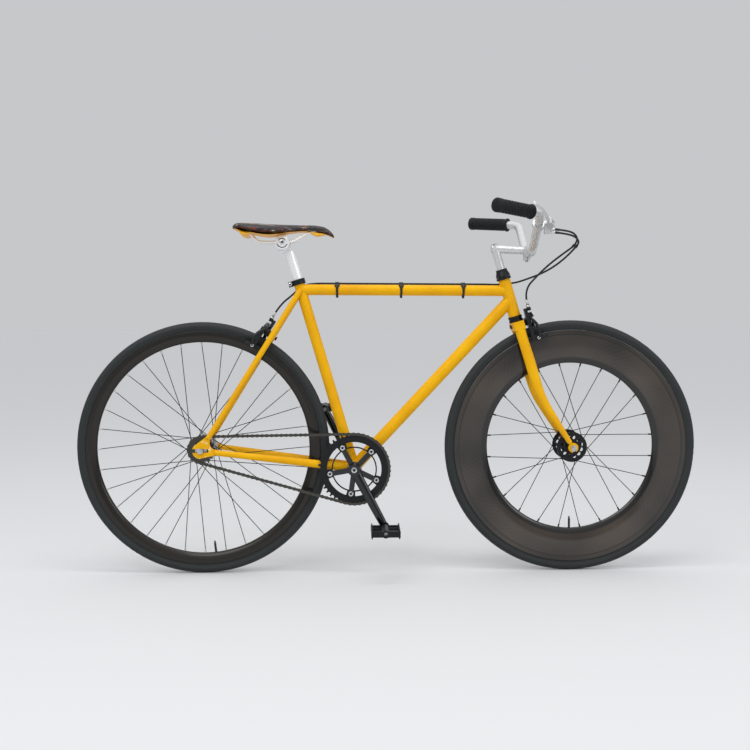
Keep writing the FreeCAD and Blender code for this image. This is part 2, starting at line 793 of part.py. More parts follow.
blades = []
TIP_SLOT_PLAY = 0.1
for side in SIDES:
    blades.append(made(blade_solid(side, 0).cut(blade_solid(side, mm.blade_wall))))
    foot_along = blade_centre(blade_foot, side)[1]
    tip_base = front_axle + Y * (side * mm.front_spacing / 2)
    disc = rod(tip_base, Y * side, size.fork_tip_radius, size.fork_tip_thickness)
    tab_length = 2 * blade_foot
    tab_centre = front_axle + Y * (side * blade_end_offset) + foot_along * (tab_length / 2 - 2)
    tab = block(tab_centre, foot_along, Y, size.fork_tip_thickness, size.blade_tip - size.blade_wall * 2 - 3,
                tab_length)
    slot_along = -head_up
    slot_centre = front_axle + Y * (side * blade_end_offset) + slot_along * mm.fork_tip_radius
    open_slot = block(slot_centre, slot_along, Y,
                      size.fork_tip_thickness * 2, (size.front_axle_radius + TIP_SLOT_PLAY) * 2,
                      size.fork_tip_radius * 2)
    slot_top = rod(tip_base - Y * (side * mm.fork_tip_thickness), Y * side,
                   size.front_axle_radius + TIP_SLOT_PLAY, size.fork_tip_thickness * 3)
    blades.append(cut(fuse(disc, tab), open_slot, slot_top))
node("fork_blades", group(*blades))

# Quill stem with its wedge and bolts.
quill_low = steerer_top - mm.quill_insert
quill_high = steerer_top + mm.quill_rise
stem_root = on_head(quill_high)
bar_centre = stem_root + X * mm.stem_reach - Z * mm.stem_drop
stem_along = (bar_centre - stem_root).normalize()
quill = rod(on_head(quill_low), head_up, size.quill_radius, quill_high - quill_low + mm.stem_arm_radius)
STEM_OVAL = 0.5
stem_arm = oval(stem_root - stem_along * mm.stem_arm_radius, bar_centre,
                (size.quill_radius + STEM_OVAL, size.quill_radius),
                (size.stem_arm_radius + STEM_OVAL, size.stem_arm_radius), Y)
clamp_base = bar_centre - Y * (mm.bar_clamp_width / 2)
clamp_ring = rod(clamp_base, Y, size.bar_sleeve_radius + size.bar_clamp_wall, size.bar_clamp_width)
PINCH_LENGTH = 17
PINCH_BREADTH = 16
pinch_centre = bar_centre - Z * (mm.bar_sleeve_radius + mm.bar_clamp_wall) - X * 6
pinch = block(pinch_centre, Z, X, PINCH_BREADTH, PINCH_BREADTH, PINCH_LENGTH)
clamp_bore = rod(clamp_base, Y, size.bar_sleeve_radius + size.running_gap, size.bar_clamp_width)
EXPANDER_RADIUS = 4
WEDGE_HEIGHT = 18
expander_hole = rod(on_head(quill_low), head_up, EXPANDER_RADIUS + 1, quill_high - quill_low + 40)
pinch_slit = block(pinch_centre - Z * PINCH_LENGTH, X, Y, size.bar_clamp_width * 2, 2 * PINCH_LENGTH, 2)
EXPANDER_HEAD = 7.5
quill_top = quill_high + mm.stem_arm_radius
head_sink = rod(on_head(quill_top), head_up, size.running_gap + EXPANDER_HEAD, size.stem_arm_radius * 2)
node("stem", cut(fuse(quill, stem_arm, clamp_ring, pinch), clamp_bore, expander_hole, head_sink, pinch_slit))
expander = rod(on_head(quill_low - WEDGE_HEIGHT), head_up, EXPANDER_RADIUS,
               quill_top - quill_low + WEDGE_HEIGHT)
expander_head = rod(on_head(quill_top), head_up, EXPANDER_HEAD, 4)
wedge = rod(on_head(quill_low - WEDGE_HEIGHT), head_up, size.quill_radius, WEDGE_HEIGHT)
pinch_bolt = rod(pinch_centre - Z * (PINCH_LENGTH / 2 + 4), Z, EXPANDER_RADIUS, 4)
node("stem_bolts", group(fuse(expander, expander_head, wedge), pinch_bolt))

# Handlebar: flat at the clamp, rising outwards, then swept back to the grips.
bar_flat = bar_centre + Y * mm.bar_half_flat
bar_bend = bar_centre + Y * mm.bar_bend_offset + Z * mm.bar_rise
bar_end = bar_bend + Vector(-mm.bar_sweep_back, mm.bar_sweep_out, mm.bar_sweep_rise)
bar_points = [mirrored(bar_end), mirrored(bar_bend), mirrored(bar_flat), bar_flat, bar_bend, bar_end]
bar_radii = [mm.bar_upper_bend, mm.bar_lower_bend, mm.bar_lower_bend, mm.bar_upper_bend]
bar_solid, used = pipe(bar_points, mm.bar_radius, bar_radii)
bar_hollow, used = pipe(bar_points, mm.bar_radius - mm.bar_wall, bar_radii)
sleeve_half = Y * (mm.bar_half_flat - 26)
bar_sleeve = Part.makeCylinder(mm.bar_sleeve_radius, 2 * sleeve_half.Length, bar_centre - sleeve_half, Y)
node("handlebar", made(bar_solid.fuse(bar_sleeve).cut(bar_hollow)))

bar_sweep = (bar_end - bar_bend).normalize()
grips = []
GRIP_FLANGE_LENGTH = 4
GRIP_CAP = 3
for side in SIDES:
    end = bar_end if side > 0 else mirrored(bar_end)
    along = -bar_sweep if side > 0 else -mirrored(bar_sweep)
    start = end - along * GRIP_CAP
    length = size.grip_length
    body = rod(start, along, size.grip_radius, length)
    flange_start = start + along * (mm.grip_length - GRIP_FLANGE_LENGTH)
    flange = rod(flange_start, along, size.grip_flange, GRIP_FLANGE_LENGTH)
    cap = rod(start, along, size.grip_radius + 1.2, GRIP_FLANGE_LENGTH * 2)
    bore = rod(end, along, size.bar_radius + size.running_gap, length)
    grips.append(cut(fuse(body, flange, cap), bore))
node("grips", group(*grips))


# Wheels: hub, spokes with nipples, hollow rim, inner tube with valve, tyre.
def spin(angle):
    """Direction in the plane of a wheel."""
    turn = math.radians(angle)
    return Vector(math.cos(turn), 0, math.sin(turn))


def rim_body(axle, depth):
    """Hollow rim with a flat brake track and a channel for the tyre's beads."""
    seat = size.rim_seat_radius
    width = size.rim_width
    wall = size.rim_wall
    lip = size.rim_lip
    floor = seat - size.rim_channel_depth
    track = seat - size.brake_track
    inner = seat - depth
    belly = inner + depth * 0.45
    knee = inner + depth * 0.12
    outline = [(seat, 0), (seat, lip), (floor, lip), (floor, width - lip), (seat, width - lip), (seat, width),
               (track, width), (belly, width * 0.95), (knee, width * 0.78), (inner, width * 0.6),
               (inner, width * 0.4), (knee, width * 0.22), (belly, width * 0.05), (track, 0)]
    hollow = [(floor - wall, wall), (floor - wall, width - wall), (belly, width * 0.95 - wall),
              (knee + wall * 0.7, width * 0.78 - wall * 0.9), (inner + wall, width * 0.6 - wall * 0.4),
              (inner + wall, width * 0.4 + wall * 0.4), (knee + wall * 0.7, width * 0.22 + wall * 0.9),
              (belly, width * 0.05 + wall)]
    return lathe(axle - Y * (mm.rim_width / 2), Y, outline, hollow)


def tyre_body(axle):
    """Open casing: round crown, straight sides and two beads inside the rim's lips."""
    bead = size.rim_seat_radius - size.bead_depth
    seat = size.rim_seat_radius + 0.5
    middle = size.tyre_width / 2
    centre = size.tyre_radius - middle
    wall = size.tyre_wall
    half = size.rim_width / 2 - size.rim_lip - 0.3
    inner = half - wall
    loop = [(bead, middle + half), (seat, middle + half), (centre, size.tyre_width, -middle),
            (size.tyre_radius, middle, -middle), (centre, 0), (seat, middle - half), (bead, middle - half),
            (bead, middle - inner), (seat, middle - inner), (centre, wall, middle - wall),
            (size.tyre_radius - wall, middle, middle - wall), (centre, size.tyre_width - wall),
            (seat, middle + inner), (bead, middle + inner)]
    return lathe(axle - Y * (mm.tyre_width / 2), Y, loop)


def tube_body(axle, valve_angle, valve_end):
    """Inner tube with its valve stem pointing at the hub."""
    parts = []
    for radius in (size.tube_radius, size.tube_radius - size.tube_wall):
        item = doc.addObject("Part::Torus", "Torus")
        bind(item, Radius1=size.tyre_radius - size.tyre_width / 2, Radius2=radius)
        item.Placement = facing(axle, Y)
        parts.append(item)
    way = spin(valve_angle)
    start = mm.tyre_radius - mm.tyre_width / 2 - mm.tube_radius + mm.tube_wall / 2
    stem = rod(axle + way * start, -way, size.valve_radius, start - valve_end)
    cap = rod(axle + way * valve_end, -way, size.valve_radius * 0.7, 6)
    return fuse(cut(*parts), stem, cap)


def hub_body(axle, width, flange_radius, flange_offset, axle_radius):
    """Hub shell with two flanges and a bearing seat at each end."""
    bore = size.hub_bearing_radius
    end = size.hub_end_radius
    core = size.hub_core_radius
    near = width / 2 - flange_offset - size.flange_thickness / 2
    far = near + size.flange_thickness
    seat = size.hub_bearing_width
    clear = axle_radius + 2
    loop = [(bore, 0), (end, 0), (end, near), (flange_radius, near), (flange_radius, far), (end, far),
            (core, far + 6), (core, width - far - 6), (end, width - far), (flange_radius, width - far),
            (flange_radius, width - near), (end, width - near), (end, width), (bore, width),
            (bore, width - seat), (clear, width - seat), (clear, seat), (bore, seat)]
    return lathe(axle - Y * (float(width) / 2), Y, loop)


AXLE_STEP = 0.4


def axle_parts(axle, radius, hub_width, spacing, tip_thickness):
    """Axle with its two bearings, cones and turned-down ends as one piece, and two hexagon nuts."""
    half = float(spacing) / 2 + float(tip_thickness) + mm.axle_nut_height
    tip = half + mm.axle_free_end
    parts = [rod(axle - Y * half, Y, radius, 2 * half), rod(axle - Y * tip, Y, radius - AXLE_STEP, 2 * tip)]
    nuts = []
    for side in SIDES:
        out = Y * side
        end = float(hub_width) / 2
        parts.append(rod(axle + out * (end - mm.hub_bearing_width + 0.3), out,
                         size.hub_bearing_radius - size.running_gap, size.hub_bearing_width - 0.3))
        parts.append(rod(axle + out * (end - 1), out, radius + 4, spacing / 2 - hub_width / 2 + 1))
        nut = doc.addObject("Part::Prism", "Nut")
        nut.Polygon = 6
        bind(nut, Circumradius=size.axle_nut_radius, Height=size.axle_nut_height)
        nut.Placement = facing(axle + out * (float(spacing) / 2 + float(tip_thickness)), out)
        hole = rod(axle + out * (float(spacing) / 2), out, radius, size.axle_nut_height * 3)
        nuts.append(cut(nut, hole))
    return group(fuse(*parts), *nuts)


SPOKE_BEND = 1.6
SPOKE_HEAD = 0.9
SPOKE_PLAY = 0.15
NIPPLE_SHOW = 8


def wheel(name, axle, depth, count, cross, valve_angle, hub_width, flange_radius, flange_offset, axle_radius):
    """All the turning pieces of one wheel."""
    rim_inner = mm.rim_seat_radius - float(depth)
    hole_circle = float(flange_radius) - mm.flange_margin
    step = 360 / count
    phase = valve_angle + step / 2
    face = mm.flange_thickness / 2
    wires = []
    rim_drills = []
    hub_drills = []
    for side in SIDES:
        for index in range(count // 2):
            hub_angle = phase + index * 2 * step + (step if side > 0 else 0)
            lead = 1 if index % 2 == 0 else -1
            hole = axle + spin(hub_angle) * hole_circle + Y * (side * float(flange_offset))
            rim_way = spin(hub_angle + lead * cross * step * 2)
            elbow = hole + Y * (side * lead * (face + SPOKE_BEND))
            head = hole - Y * (side * lead * (face + SPOKE_HEAD))
            seat = axle + rim_way * rim_inner
            along = (seat - elbow).normalize()
            tip = seat - along * NIPPLE_SHOW
            wires.append(pipe([head, elbow, tip], mm.spoke_radius, [SPOKE_BEND])[0])
            wires.append(Part.makeCylinder(mm.nipple_radius, mm.nipple_length, tip, along))
            rim_drills.append(Part.makeCylinder(mm.nipple_radius + SPOKE_PLAY, 2 * NIPPLE_SHOW, tip, along))
            past_flange = elbow + along * float(flange_radius)
            hub_drills.append(pipe([head, elbow, past_flange], mm.spoke_radius + SPOKE_PLAY, [SPOKE_BEND])[0])
    valve_end = rim_inner - mm.valve_reach
    rim_drills.append(Part.makeCylinder(mm.valve_radius + 0.25, mm.rim_seat_radius - rim_inner + 5,
                                        axle + spin(valve_angle) * (rim_inner - 5), spin(valve_angle)))
    node(name + "_tyre", tyre_body(axle))
    node(name + "_inner_tube", tube_body(axle, valve_angle, valve_end))
    node(name + "_rim", cut(rim_body(axle, depth), made(Part.makeCompound(rim_drills))))
    node(name + "_spokes", made(Part.makeCompound(wires)))
    hub = hub_body(axle, hub_width, flange_radius, flange_offset, axle_radius)
    return cut(hub, made(Part.makeCompound(hub_drills)))


front_hub = wheel("front", front_axle, size.front_rim_depth, round(mm.front_spoke_count), 2,
                  mm.front_valve_angle, size.front_hub_width, size.front_flange_radius,
                  size.front_flange_offset, size.front_axle_radius)
LIGHTENING_RADIUS = 5
lightening = []
for index in range(round(mm.front_spoke_count) // 2):
    way = spin(mm.front_valve_angle + (index + 0.5) * 720 / mm.front_spoke_count)
    start = front_axle + way * ((mm.front_flange_radius + mm.hub_end_radius - mm.flange_margin) / 2)
    lightening.append(Part.makeCylinder(LIGHTENING_RADIUS, mm.front_hub_width,
                                        start - Y * (mm.front_hub_width / 2), Y))
node("front_hub", cut(front_hub, made(Part.makeCompound(lightening))))
rear_hub = wheel("rear", rear_axle, size.rear_rim_depth, round(mm.rear_spoke_count), 3, mm.rear_valve_angle,
                 size.rear_hub_width, size.rear_flange_radius, size.rear_flange_offset,
                 size.rear_axle_radius)
node("rear_hub", rear_hub)
node("front_axle", axle_parts(front_axle, size.front_axle_radius, size.front_hub_width, size.front_spacing,
                              size.fork_tip_thickness))
node("rear_axle", axle_parts(rear_axle, size.rear_axle_radius, size.rear_hub_width, size.rear_spacing,
                             size.track_end_thickness))

# Chain path, counted in links: round the ring, along the bottom, round the sprocket, along the top.
lean = math.asin((ring_pitch_radius - sprocket_pitch_radius) / centre_distance)
drive_angle = math.atan2(bb.z - rear_axle.z, bb.x - rear_axle.x)
top_angle = drive_angle + math.pi / 2 + lean
low_angle = drive_angle - math.pi / 2 - lean
run_links = centre_distance * math.cos(lean) / mm.chain_pitch
ring_links = (math.pi + 2 * lean) * mm.ring_teeth / (2 * math.pi)
sprocket_links = (math.pi - 2 * lean) * mm.sprocket_teeth / (2 * math.pi)
drive_plane = -Y * mm.chainline


def flat(angle):
    return Vector(math.cos(angle), 0, math.sin(angle))


def chain_point(count):
    """Where a pin sits after a number of links from the top of the ring."""
    ring_centre = bb + drive_plane
    sprocket_centre = rear_axle + drive_plane
    if count <= ring_links:
        return ring_centre + flat(top_angle - count * 2 * math.pi / mm.ring_teeth) * ring_pitch_radius
    count -= ring_links
    low_start = ring_centre + flat(low_angle) * ring_pitch_radius
    low_end = sprocket_centre + flat(low_angle) * sprocket_pitch_radius
    if count <= run_links:
        return low_start + (low_end - low_start) * (count / run_links)
    count -= run_links
    if count <= sprocket_links:
        turn = low_angle - count * 2 * math.pi / mm.sprocket_teeth
        return sprocket_centre + flat(turn) * sprocket_pitch_radius
    count -= sprocket_links
    top_start = sprocket_centre + flat(top_angle) * sprocket_pitch_radius
    top_end = ring_centre + flat(top_angle) * ring_pitch_radius
    return top_start + (top_end - top_start) * (count / run_links)


def link_plates(offset):
    """Two waisted plates of a link, in the XY plane with the pins on the X axis."""
    radius = mm.chain_plate_radius
    waist = mm.chain_plate_waist
    half = mm.chain_pitch / 2
    turns = [(half, radius), (0, waist), (-half, radius), (-half - radius, 0), (-half, -radius),
             (0, -waist), (half, -radius), (half + radius, 0), (half, radius)]
    points = [Vector(x, y, 0) for x, y in turns]
    edges = [Part.Arc(*points[start:start + 3]).toShape() for start in range(0, len(points) - 1, 2)]
    solid = Part.Face(Part.Wire(edges)).extrude(Vector(0, 0, mm.chain_plate))
    pair = []
    for low in (offset, -offset - mm.chain_plate):
        copy = solid.copy()
        copy.translate(Vector(0, 0, low))
        pair.append(copy)
    return pair


def link_bars(radius, half_length):
    bars = []
    for x in (-mm.chain_pitch / 2, mm.chain_pitch / 2):
        bars.append(Part.makeCylinder(radius, 2 * half_length, Vector(x, 0, -half_length), Z))
    return bars


inner_offset = mm.chain_inner_gap / 2
outer_offset = inner_offset + mm.chain_plate + mm.chain_play
pin_half = outer_offset + mm.chain_plate + 0.5
inner_plates = link_plates(inner_offset)
inner_link = inner_plates[0].multiFuse(inner_plates[1:] + link_bars(mm.roller_radius, inner_offset + 0.2))
for drill in link_bars(mm.chain_pin_radius + mm.chain_play, pin_half):
    inner_link = inner_link.cut(drill)
outer_plates = link_plates(outer_offset)
outer_link = outer_plates[0].multiFuse(outer_plates[1:] + link_bars(mm.chain_pin_radius, pin_half))
links = []
for index in range(link_count):
    first = chain_point(index)
    second = chain_point((index + 1) % link_count)
    copy = (inner_link if index % 2 == 0 else outer_link).copy()
    copy.Placement = facing((first + second) / 2, Y, second - first)
    links.append(copy)
node("chain", made(Part.makeCompound(links)))


def circle(radius):
    """Closed loop of four quarter arcs."""
    return [(radius, 0, radius), (0, radius, radius), (-radius, 0, radius), (0, -radius, radius)]


def toothed(centre, pitch_radius, teeth, gap_way, bore):
    """Toothed disc whose first gap points along a direction."""
    tip = pitch_radius + mm.tooth_height
    base = centre + Y * (mm.tooth_thickness / 2)
    disc = plate(facing(base, -Y, gap_way), size.tooth_thickness, circle(tip), circle(bore))
    seat = mm.roller_radius + mm.roller_clearance
    seat_end = polar(seat, 100)
    flare = (pitch_radius + 5, 5.9)
    gap = [flare, (pitch_radius + seat_end.x, seat_end.y, seat), (pitch_radius + seat_end.x, -seat_end.y),
           (flare[0], -flare[1])]
    doc.recompute()
    pierce(disc, round(teeth), gap)
    return disc


# Chainring and sprocket, with their gaps under the chain's rollers.
ring_gap = flat(top_angle)
chainring = toothed(bb + drive_plane, ring_pitch_radius, mm.ring_teeth, ring_gap, size.ring_bore)
crank_way = spin(mm.crank_angle)
ring_place = facing(Vector(), -Y, ring_gap)
crank_local = ring_place.inverse().multVec(crank_way)
crank_turn = math.degrees(math.atan2(crank_local.y, crank_local.x))


def window_loop():
    """Window between two bolts, centred on the crank's direction."""
    corners = []
    for radius, turn in ((mm.ring_window_outer, -1), (mm.ring_window_outer, 1),
                         (mm.ring_window_inner, 1), (mm.ring_window_inner, -1)):
        corners.append(polar(radius, crank_turn + turn * mm.ring_window_span / 2))
    outer_start, outer_end, inner_start, inner_end = [(point.x, point.y) for point in corners]
    return [outer_start + (size.ring_window_outer,), outer_end,
            inner_start + (-size.ring_window_inner,), inner_end]


SPIDER_ARMS = 5
pierce(chainring, SPIDER_ARMS, window_loop())
bolt_ways = [spin(mm.crank_angle + (index + 0.5) * 360 / SPIDER_ARMS) for index in range(SPIDER_ARMS)]
ring_holes = [rod(bb + way * mm.ring_bolt_radius, -Y, size.ring_bolt_hole, size.chainline * 2)
              for way in bolt_ways]
node("chainring", cut(chainring, *ring_holes))

sprocket_gap_links = math.ceil(ring_links + run_links)
sprocket_gap = chain_point(sprocket_gap_links) - rear_axle - drive_plane
sprocket = toothed(rear_axle + drive_plane, sprocket_pitch_radius, mm.sprocket_teeth, sprocket_gap,
                   size.hub_end_radius + size.running_gap)
LOCKRING_HEIGHT = 5
lockring = ring(rear_axle + drive_plane - Y * (mm.tooth_thickness / 2 + LOCKRING_HEIGHT), Y,
                size.hub_end_radius + 5, size.hub_end_radius + size.running_gap, LOCKRING_HEIGHT)
node("rear_sprocket", group(sprocket, lockring))

# Cranks, spindle and bearing cups.
CUP_WIDTH = 14
CUP_FLANGE = 2
cups = []
for side in SIDES:
    out = Y * side
    face = mm.bb_shell_width / 2
    sleeve = rod(bb + out * (face - CUP_WIDTH), out,
                 size.bb_shell_radius - size.bb_shell_wall - size.running_gap, CUP_WIDTH)
    flange = rod(bb + out * face, out, size.bb_shell_radius - 1, CUP_FLANGE)
    hole = rod(bb + out * (face - CUP_WIDTH), out, size.spindle_radius + size.running_gap, CUP_WIDTH * 2)
    cups.append(cut(fuse(sleeve, flange), hole))
node("bottom_bracket_cups", group(*cups))

crank_mid = mm.crank_inner + mm.crank_thickness / 2
spindle_end = crank_mid + 4
spindle_square = block(bb, Y, crank_way, size.spindle_square, size.spindle_square, 2 * spindle_end)
spindle_core = rod(bb - Y * (mm.crank_inner - 8), Y, size.spindle_radius, size.crank_inner * 2 - 16)
square_ends = cut(spindle_square, rod(bb - Y * (mm.bb_shell_width / 2 + 6), Y, size.spindle_radius * 2,
                                      size.bb_shell_width + 12))
node("crank_spindle", fuse(spindle_core, square_ends))

crank_bolts = []
pedal_axles = []
BOSS_OUT = 3
COLLAR_GAP = 1.2
pedal_mid = crank_mid + mm.crank_splay
pedal_start = pedal_mid + mm.crank_end_thickness / 2 + mm.pedal_gap
for side, label in ((-1, "crank_arm_right"), (1, "crank_arm_left")):
    out = Y * side
    way = crank_way * -side
    across = way.cross(Y)
    centre = bb + out * crank_mid
    pedal_centre = bb + way * mm.crank_length
    inner_face = mm.chainline + mm.tooth_thickness / 2 + 0.1
    boss_length = crank_mid + mm.crank_thickness / 2 + BOSS_OUT - inner_face
    parts = [rod(bb + out * inner_face, out, size.crank_boss_radius, boss_length)]
    parts.append(oval(centre, pedal_centre + out * pedal_mid,
                      (size.crank_breadth / 2, size.crank_thickness / 2),
                      (size.crank_end_breadth / 2, size.crank_end_thickness / 2), across))
    pedal_boss = pedal_centre + out * (pedal_mid - mm.crank_end_thickness / 2 - 1)
    parts.append(rod(pedal_boss, out, size.pedal_boss_radius, size.crank_end_thickness + 2))
    if side < 0:
        for bolt_way in bolt_ways:
            reach = mm.ring_bolt_radius
            middle = bb + bolt_way * (reach / 2) + out * (inner_face + mm.spider_thickness / 2)
            parts.append(block(middle, out, bolt_way, size.ring_bolt_radius, size.spider_width,
                               size.spider_thickness))
            parts.append(rod(bb + bolt_way * reach + out * inner_face, out, size.spider_width / 2,
                             size.spider_thickness))
    square_hole = block(bb + out * crank_mid, Y, crank_way, size.spindle_square + size.running_gap * 2,
                        size.spindle_square + size.running_gap * 2, 60)
    recess = rod(bb + out * spindle_end, out, 9, 20)
    pedal_hole = rod(pedal_centre + out * (pedal_mid - 20), out, size.pedal_axle_radius, 40)
    drills = [square_hole, recess, pedal_hole]
    if side < 0:
        drills += ring_holes
    node(label, cut(fuse(*parts), *drills))
    crank_bolts.append(rod(bb + out * spindle_end, out, 8, 4))
    axle_start = pedal_mid - mm.crank_end_thickness / 2
    shaft = rod(pedal_centre + out * axle_start, out, size.pedal_axle_radius, size.pedal_axle_length)
    collar_start = pedal_centre + out * (pedal_mid + mm.crank_end_thickness / 2 + COLLAR_GAP)
    collar = rod(collar_start, out, size.pedal_axle_radius + 3, size.pedal_gap - 2 * COLLAR_GAP)
    pedal_axles.append(fuse(shaft, collar))
BOLT_HEAD = 1.8
for way in bolt_ways:
    inner_end = mm.chainline - mm.tooth_thickness / 2
    outer_end = mm.chainline + mm.tooth_thickness / 2 + 0.1 + mm.spider_thickness
    shank = rod(bb + way * mm.ring_bolt_radius - Y * inner_end, -Y, size.ring_bolt_hole - size.running_gap,
                outer_end - inner_end)
    head = rod(bb + way * mm.ring_bolt_radius - Y * outer_end, -Y, size.ring_bolt_hole + 1.5, BOLT_HEAD)
    back = rod(bb + way * mm.ring_bolt_radius - Y * inner_end, Y, size.ring_bolt_hole + 1.5, BOLT_HEAD)
    crank_bolts.append(fuse(shank, head, back))
node("crankset_bolts", group(*crank_bolts))
node("pedal_axles", group(*pedal_axles))


def cage_outline():
    """Side plate of a pedal with a row of teeth along both edges."""
    half = mm.pedal_width / 2
    low = mm.pedal_height / 2 - mm.pedal_tooth
    high = mm.pedal_height / 2
    teeth = 9
    step = 2 * half / teeth
    edge = []
    for index in range(teeth):
        start = -half + index * step
        edge += [(start + step * 0.1, -low), (start + step * 0.4, -high), (start + step * 0.6, -high),
                 (start + step * 0.9, -low)]
    return edge + [(-x, -y) for x, y in edge]


for side, label in ((-1, "pedal_right"), (1, "pedal_left")):
    out = Y * side
    centre = bb + crank_way * (-side * mm.crank_length) + out * (pedal_start + mm.pedal_width / 2)
    barrel = rod(centre - out * (mm.pedal_width / 2), out, size.pedal_axle_radius + 5, size.pedal_width)
    parts = [barrel]
    for end in SIDES:
        middle = centre + Y * (end * (mm.pedal_width - mm.pedal_plate) / 2)
        parts.append(block(middle, Z, X, size.pedal_length - 1, size.pedal_plate, size.pedal_height * 0.6))
        cage_base = centre + X * (end * (mm.pedal_length / 2 - mm.pedal_plate / 2) - mm.pedal_plate / 4)
        parts.append(plate(facing(cage_base, X, Y), size.pedal_plate / 2, cage_outline()))
        rib = centre + Y * (end * mm.pedal_width / 5)
        parts.append(block(rib, Z, X, size.pedal_length - 4, size.pedal_plate * 0.7, size.pedal_height * 0.4))
    bore = rod(centre - out * (mm.pedal_width / 2), out, size.pedal_axle_radius + size.running_gap,
               size.pedal_width)
    node(label, cut(fuse(*parts), bore))

# Seatpost with a set-back head, rail clamp, rails, shell and padded cover.
POST_SET_BACK = 15
HEAD_RISE = 11.5
post_base = on_seat(seat_high - mm.seatpost_insert)
post_length = size.seatpost_insert + size.seatpost_show
post_top = on_seat(seat_high + mm.seatpost_show)
post_head = post_top + seat_back * POST_SET_BACK + seat_up * HEAD_RISE
HEAD_RADIUS = 12
HEAD_WIDTH = 32
CLAMP_LENGTH = 36
CLAMP_HEIGHT = 15
post_outer = rod(post_base, seat_up, size.seatpost_radius, post_length)
post_bore = rod(post_base, seat_up, size.seatpost_radius - size.seatpost_wall, post_length - 12)
head_roll = rod(post_head - Y * (HEAD_WIDTH / 2), Y, HEAD_RADIUS, HEAD_WIDTH)
head_web = block((post_head + post_top) / 2 - seat_up * 4, seat_up, Y, size.seatpost_radius * 1.6,
                 POST_SET_BACK + 12, 18)
node("seatpost", cut(fuse(post_outer, head_roll, head_web), post_bore))
rail_level = post_head.z + mm.rail_rise
clamp_centre = Vector(post_head.x, 0, rail_level)
saddle_rear = clamp_centre.x - mm.saddle_back
saddle_top = rail_level + mm.saddle_rise
clamp_body = block(clamp_centre, Z, X, CLAMP_LENGTH, size.rail_spacing + size.rail_radius * 4, CLAMP_HEIGHT)
head_space = rod(post_head - Y * HEAD_WIDTH, Y, HEAD_RADIUS, 2 * HEAD_WIDTH)
RAIL_BORE_HALF = 40
rail_bores = [rod(clamp_centre + Y * (side * mm.rail_spacing / 2) - X * RAIL_BORE_HALF, X,
                  size.rail_radius + size.running_gap, 2 * RAIL_BORE_HALF)
              for side in SIDES]
node("saddle_clamp", cut(clamp_body, head_space, *rail_bores))

# Saddle stations: share of length, half width share, top below the highest point, underside below it.
SADDLE_STATIONS = (
    (0.00, 0.60, 0.36, 0.86),
    (0.025, 0.78, 0.14, 1.08),
    (0.085, 0.93, 0.00, 1.22),
    (0.20, 1.00, 0.00, 1.26),
    (0.35, 0.93, 0.06, 1.26),
    (0.50, 0.66, 0.12, 1.23),
    (0.65, 0.42, 0.15, 1.19),
    (0.80, 0.30, 0.20, 1.23),
    (0.92, 0.27, 0.42, 1.42),
    (0.975, 0.21, 0.74, 1.48),
    (1.00, 0.12, 1.06, 1.46),
)


def saddle_heights(station):
    """Place along X, half width, top and underside of a saddle station."""
    share, breadth, top_drop, low_drop = station
    nose = mm.saddle_nose_width / (0.28 * mm.saddle_width)
    narrow = 1 + (nose - 1) * max(share - 0.5, 0) * 2
    return (saddle_rear + share * mm.saddle_length, breadth * narrow * mm.saddle_width / 2,
            saddle_top - top_drop * mm.saddle_pad, saddle_top - low_drop * mm.saddle_pad)


def cover_wire(station):
    """Cross-section with a crowned top and sides drawn in towards the underside."""
    x, half, high, low = saddle_heights(station)
    rise = high - low
    base = [Vector(x, -0.84 * half, low), Vector(x, 0.84 * half, low)]
    shoulder = [Vector(x, -0.78 * half, high - 0.2 * rise), Vector(x, 0.78 * half, high - 0.2 * rise)]
    edges = [Part.LineSegment(base[0], base[1]).toShape(),
             Part.Arc(base[1], Vector(x, half, low + 0.42 * rise), shoulder[1]).toShape(),
             Part.Arc(shoulder[1], Vector(x, 0, high), shoulder[0]).toShape(),
             Part.Arc(shoulder[0], Vector(x, -half, low + 0.42 * rise), base[0]).toShape()]
    return Part.Wire(edges)


SHELL_GAP = 0.4


def shell_wire(station):
    """Cross-section of the shell just under the cover."""
    x, half, high, low = saddle_heights(station)
    top_edge = low - SHELL_GAP
    low_edge = top_edge - mm.shell_thickness
    corners = [Vector(x, -0.82 * half, top_edge), Vector(x, 0.82 * half, top_edge),
               Vector(x, 0.78 * half, low_edge), Vector(x, -0.78 * half, low_edge)]
    return Part.makePolygon(corners + corners[:1])


node("saddle_cover", made(Part.makeLoft([cover_wire(item) for item in SADDLE_STATIONS], True, False)))
shell = made(Part.makeLoft([shell_wire(item) for item in SADDLE_STATIONS[1:-1]], True, False))


def shell_underside(x):
    """Underside of the shell at a place along the saddle, taken between stations."""
    places = [saddle_heights(item) for item in SADDLE_STATIONS]
    for (first, _, _, low), (second, _, _, following) in zip(places, places[1:]):
        if first <= x <= second:
            return low + (following - low) * (x - first) / (second - first) - SHELL_GAP - mm.shell_thickness
    raise RuntimeError("a rail ends beyond the saddle")


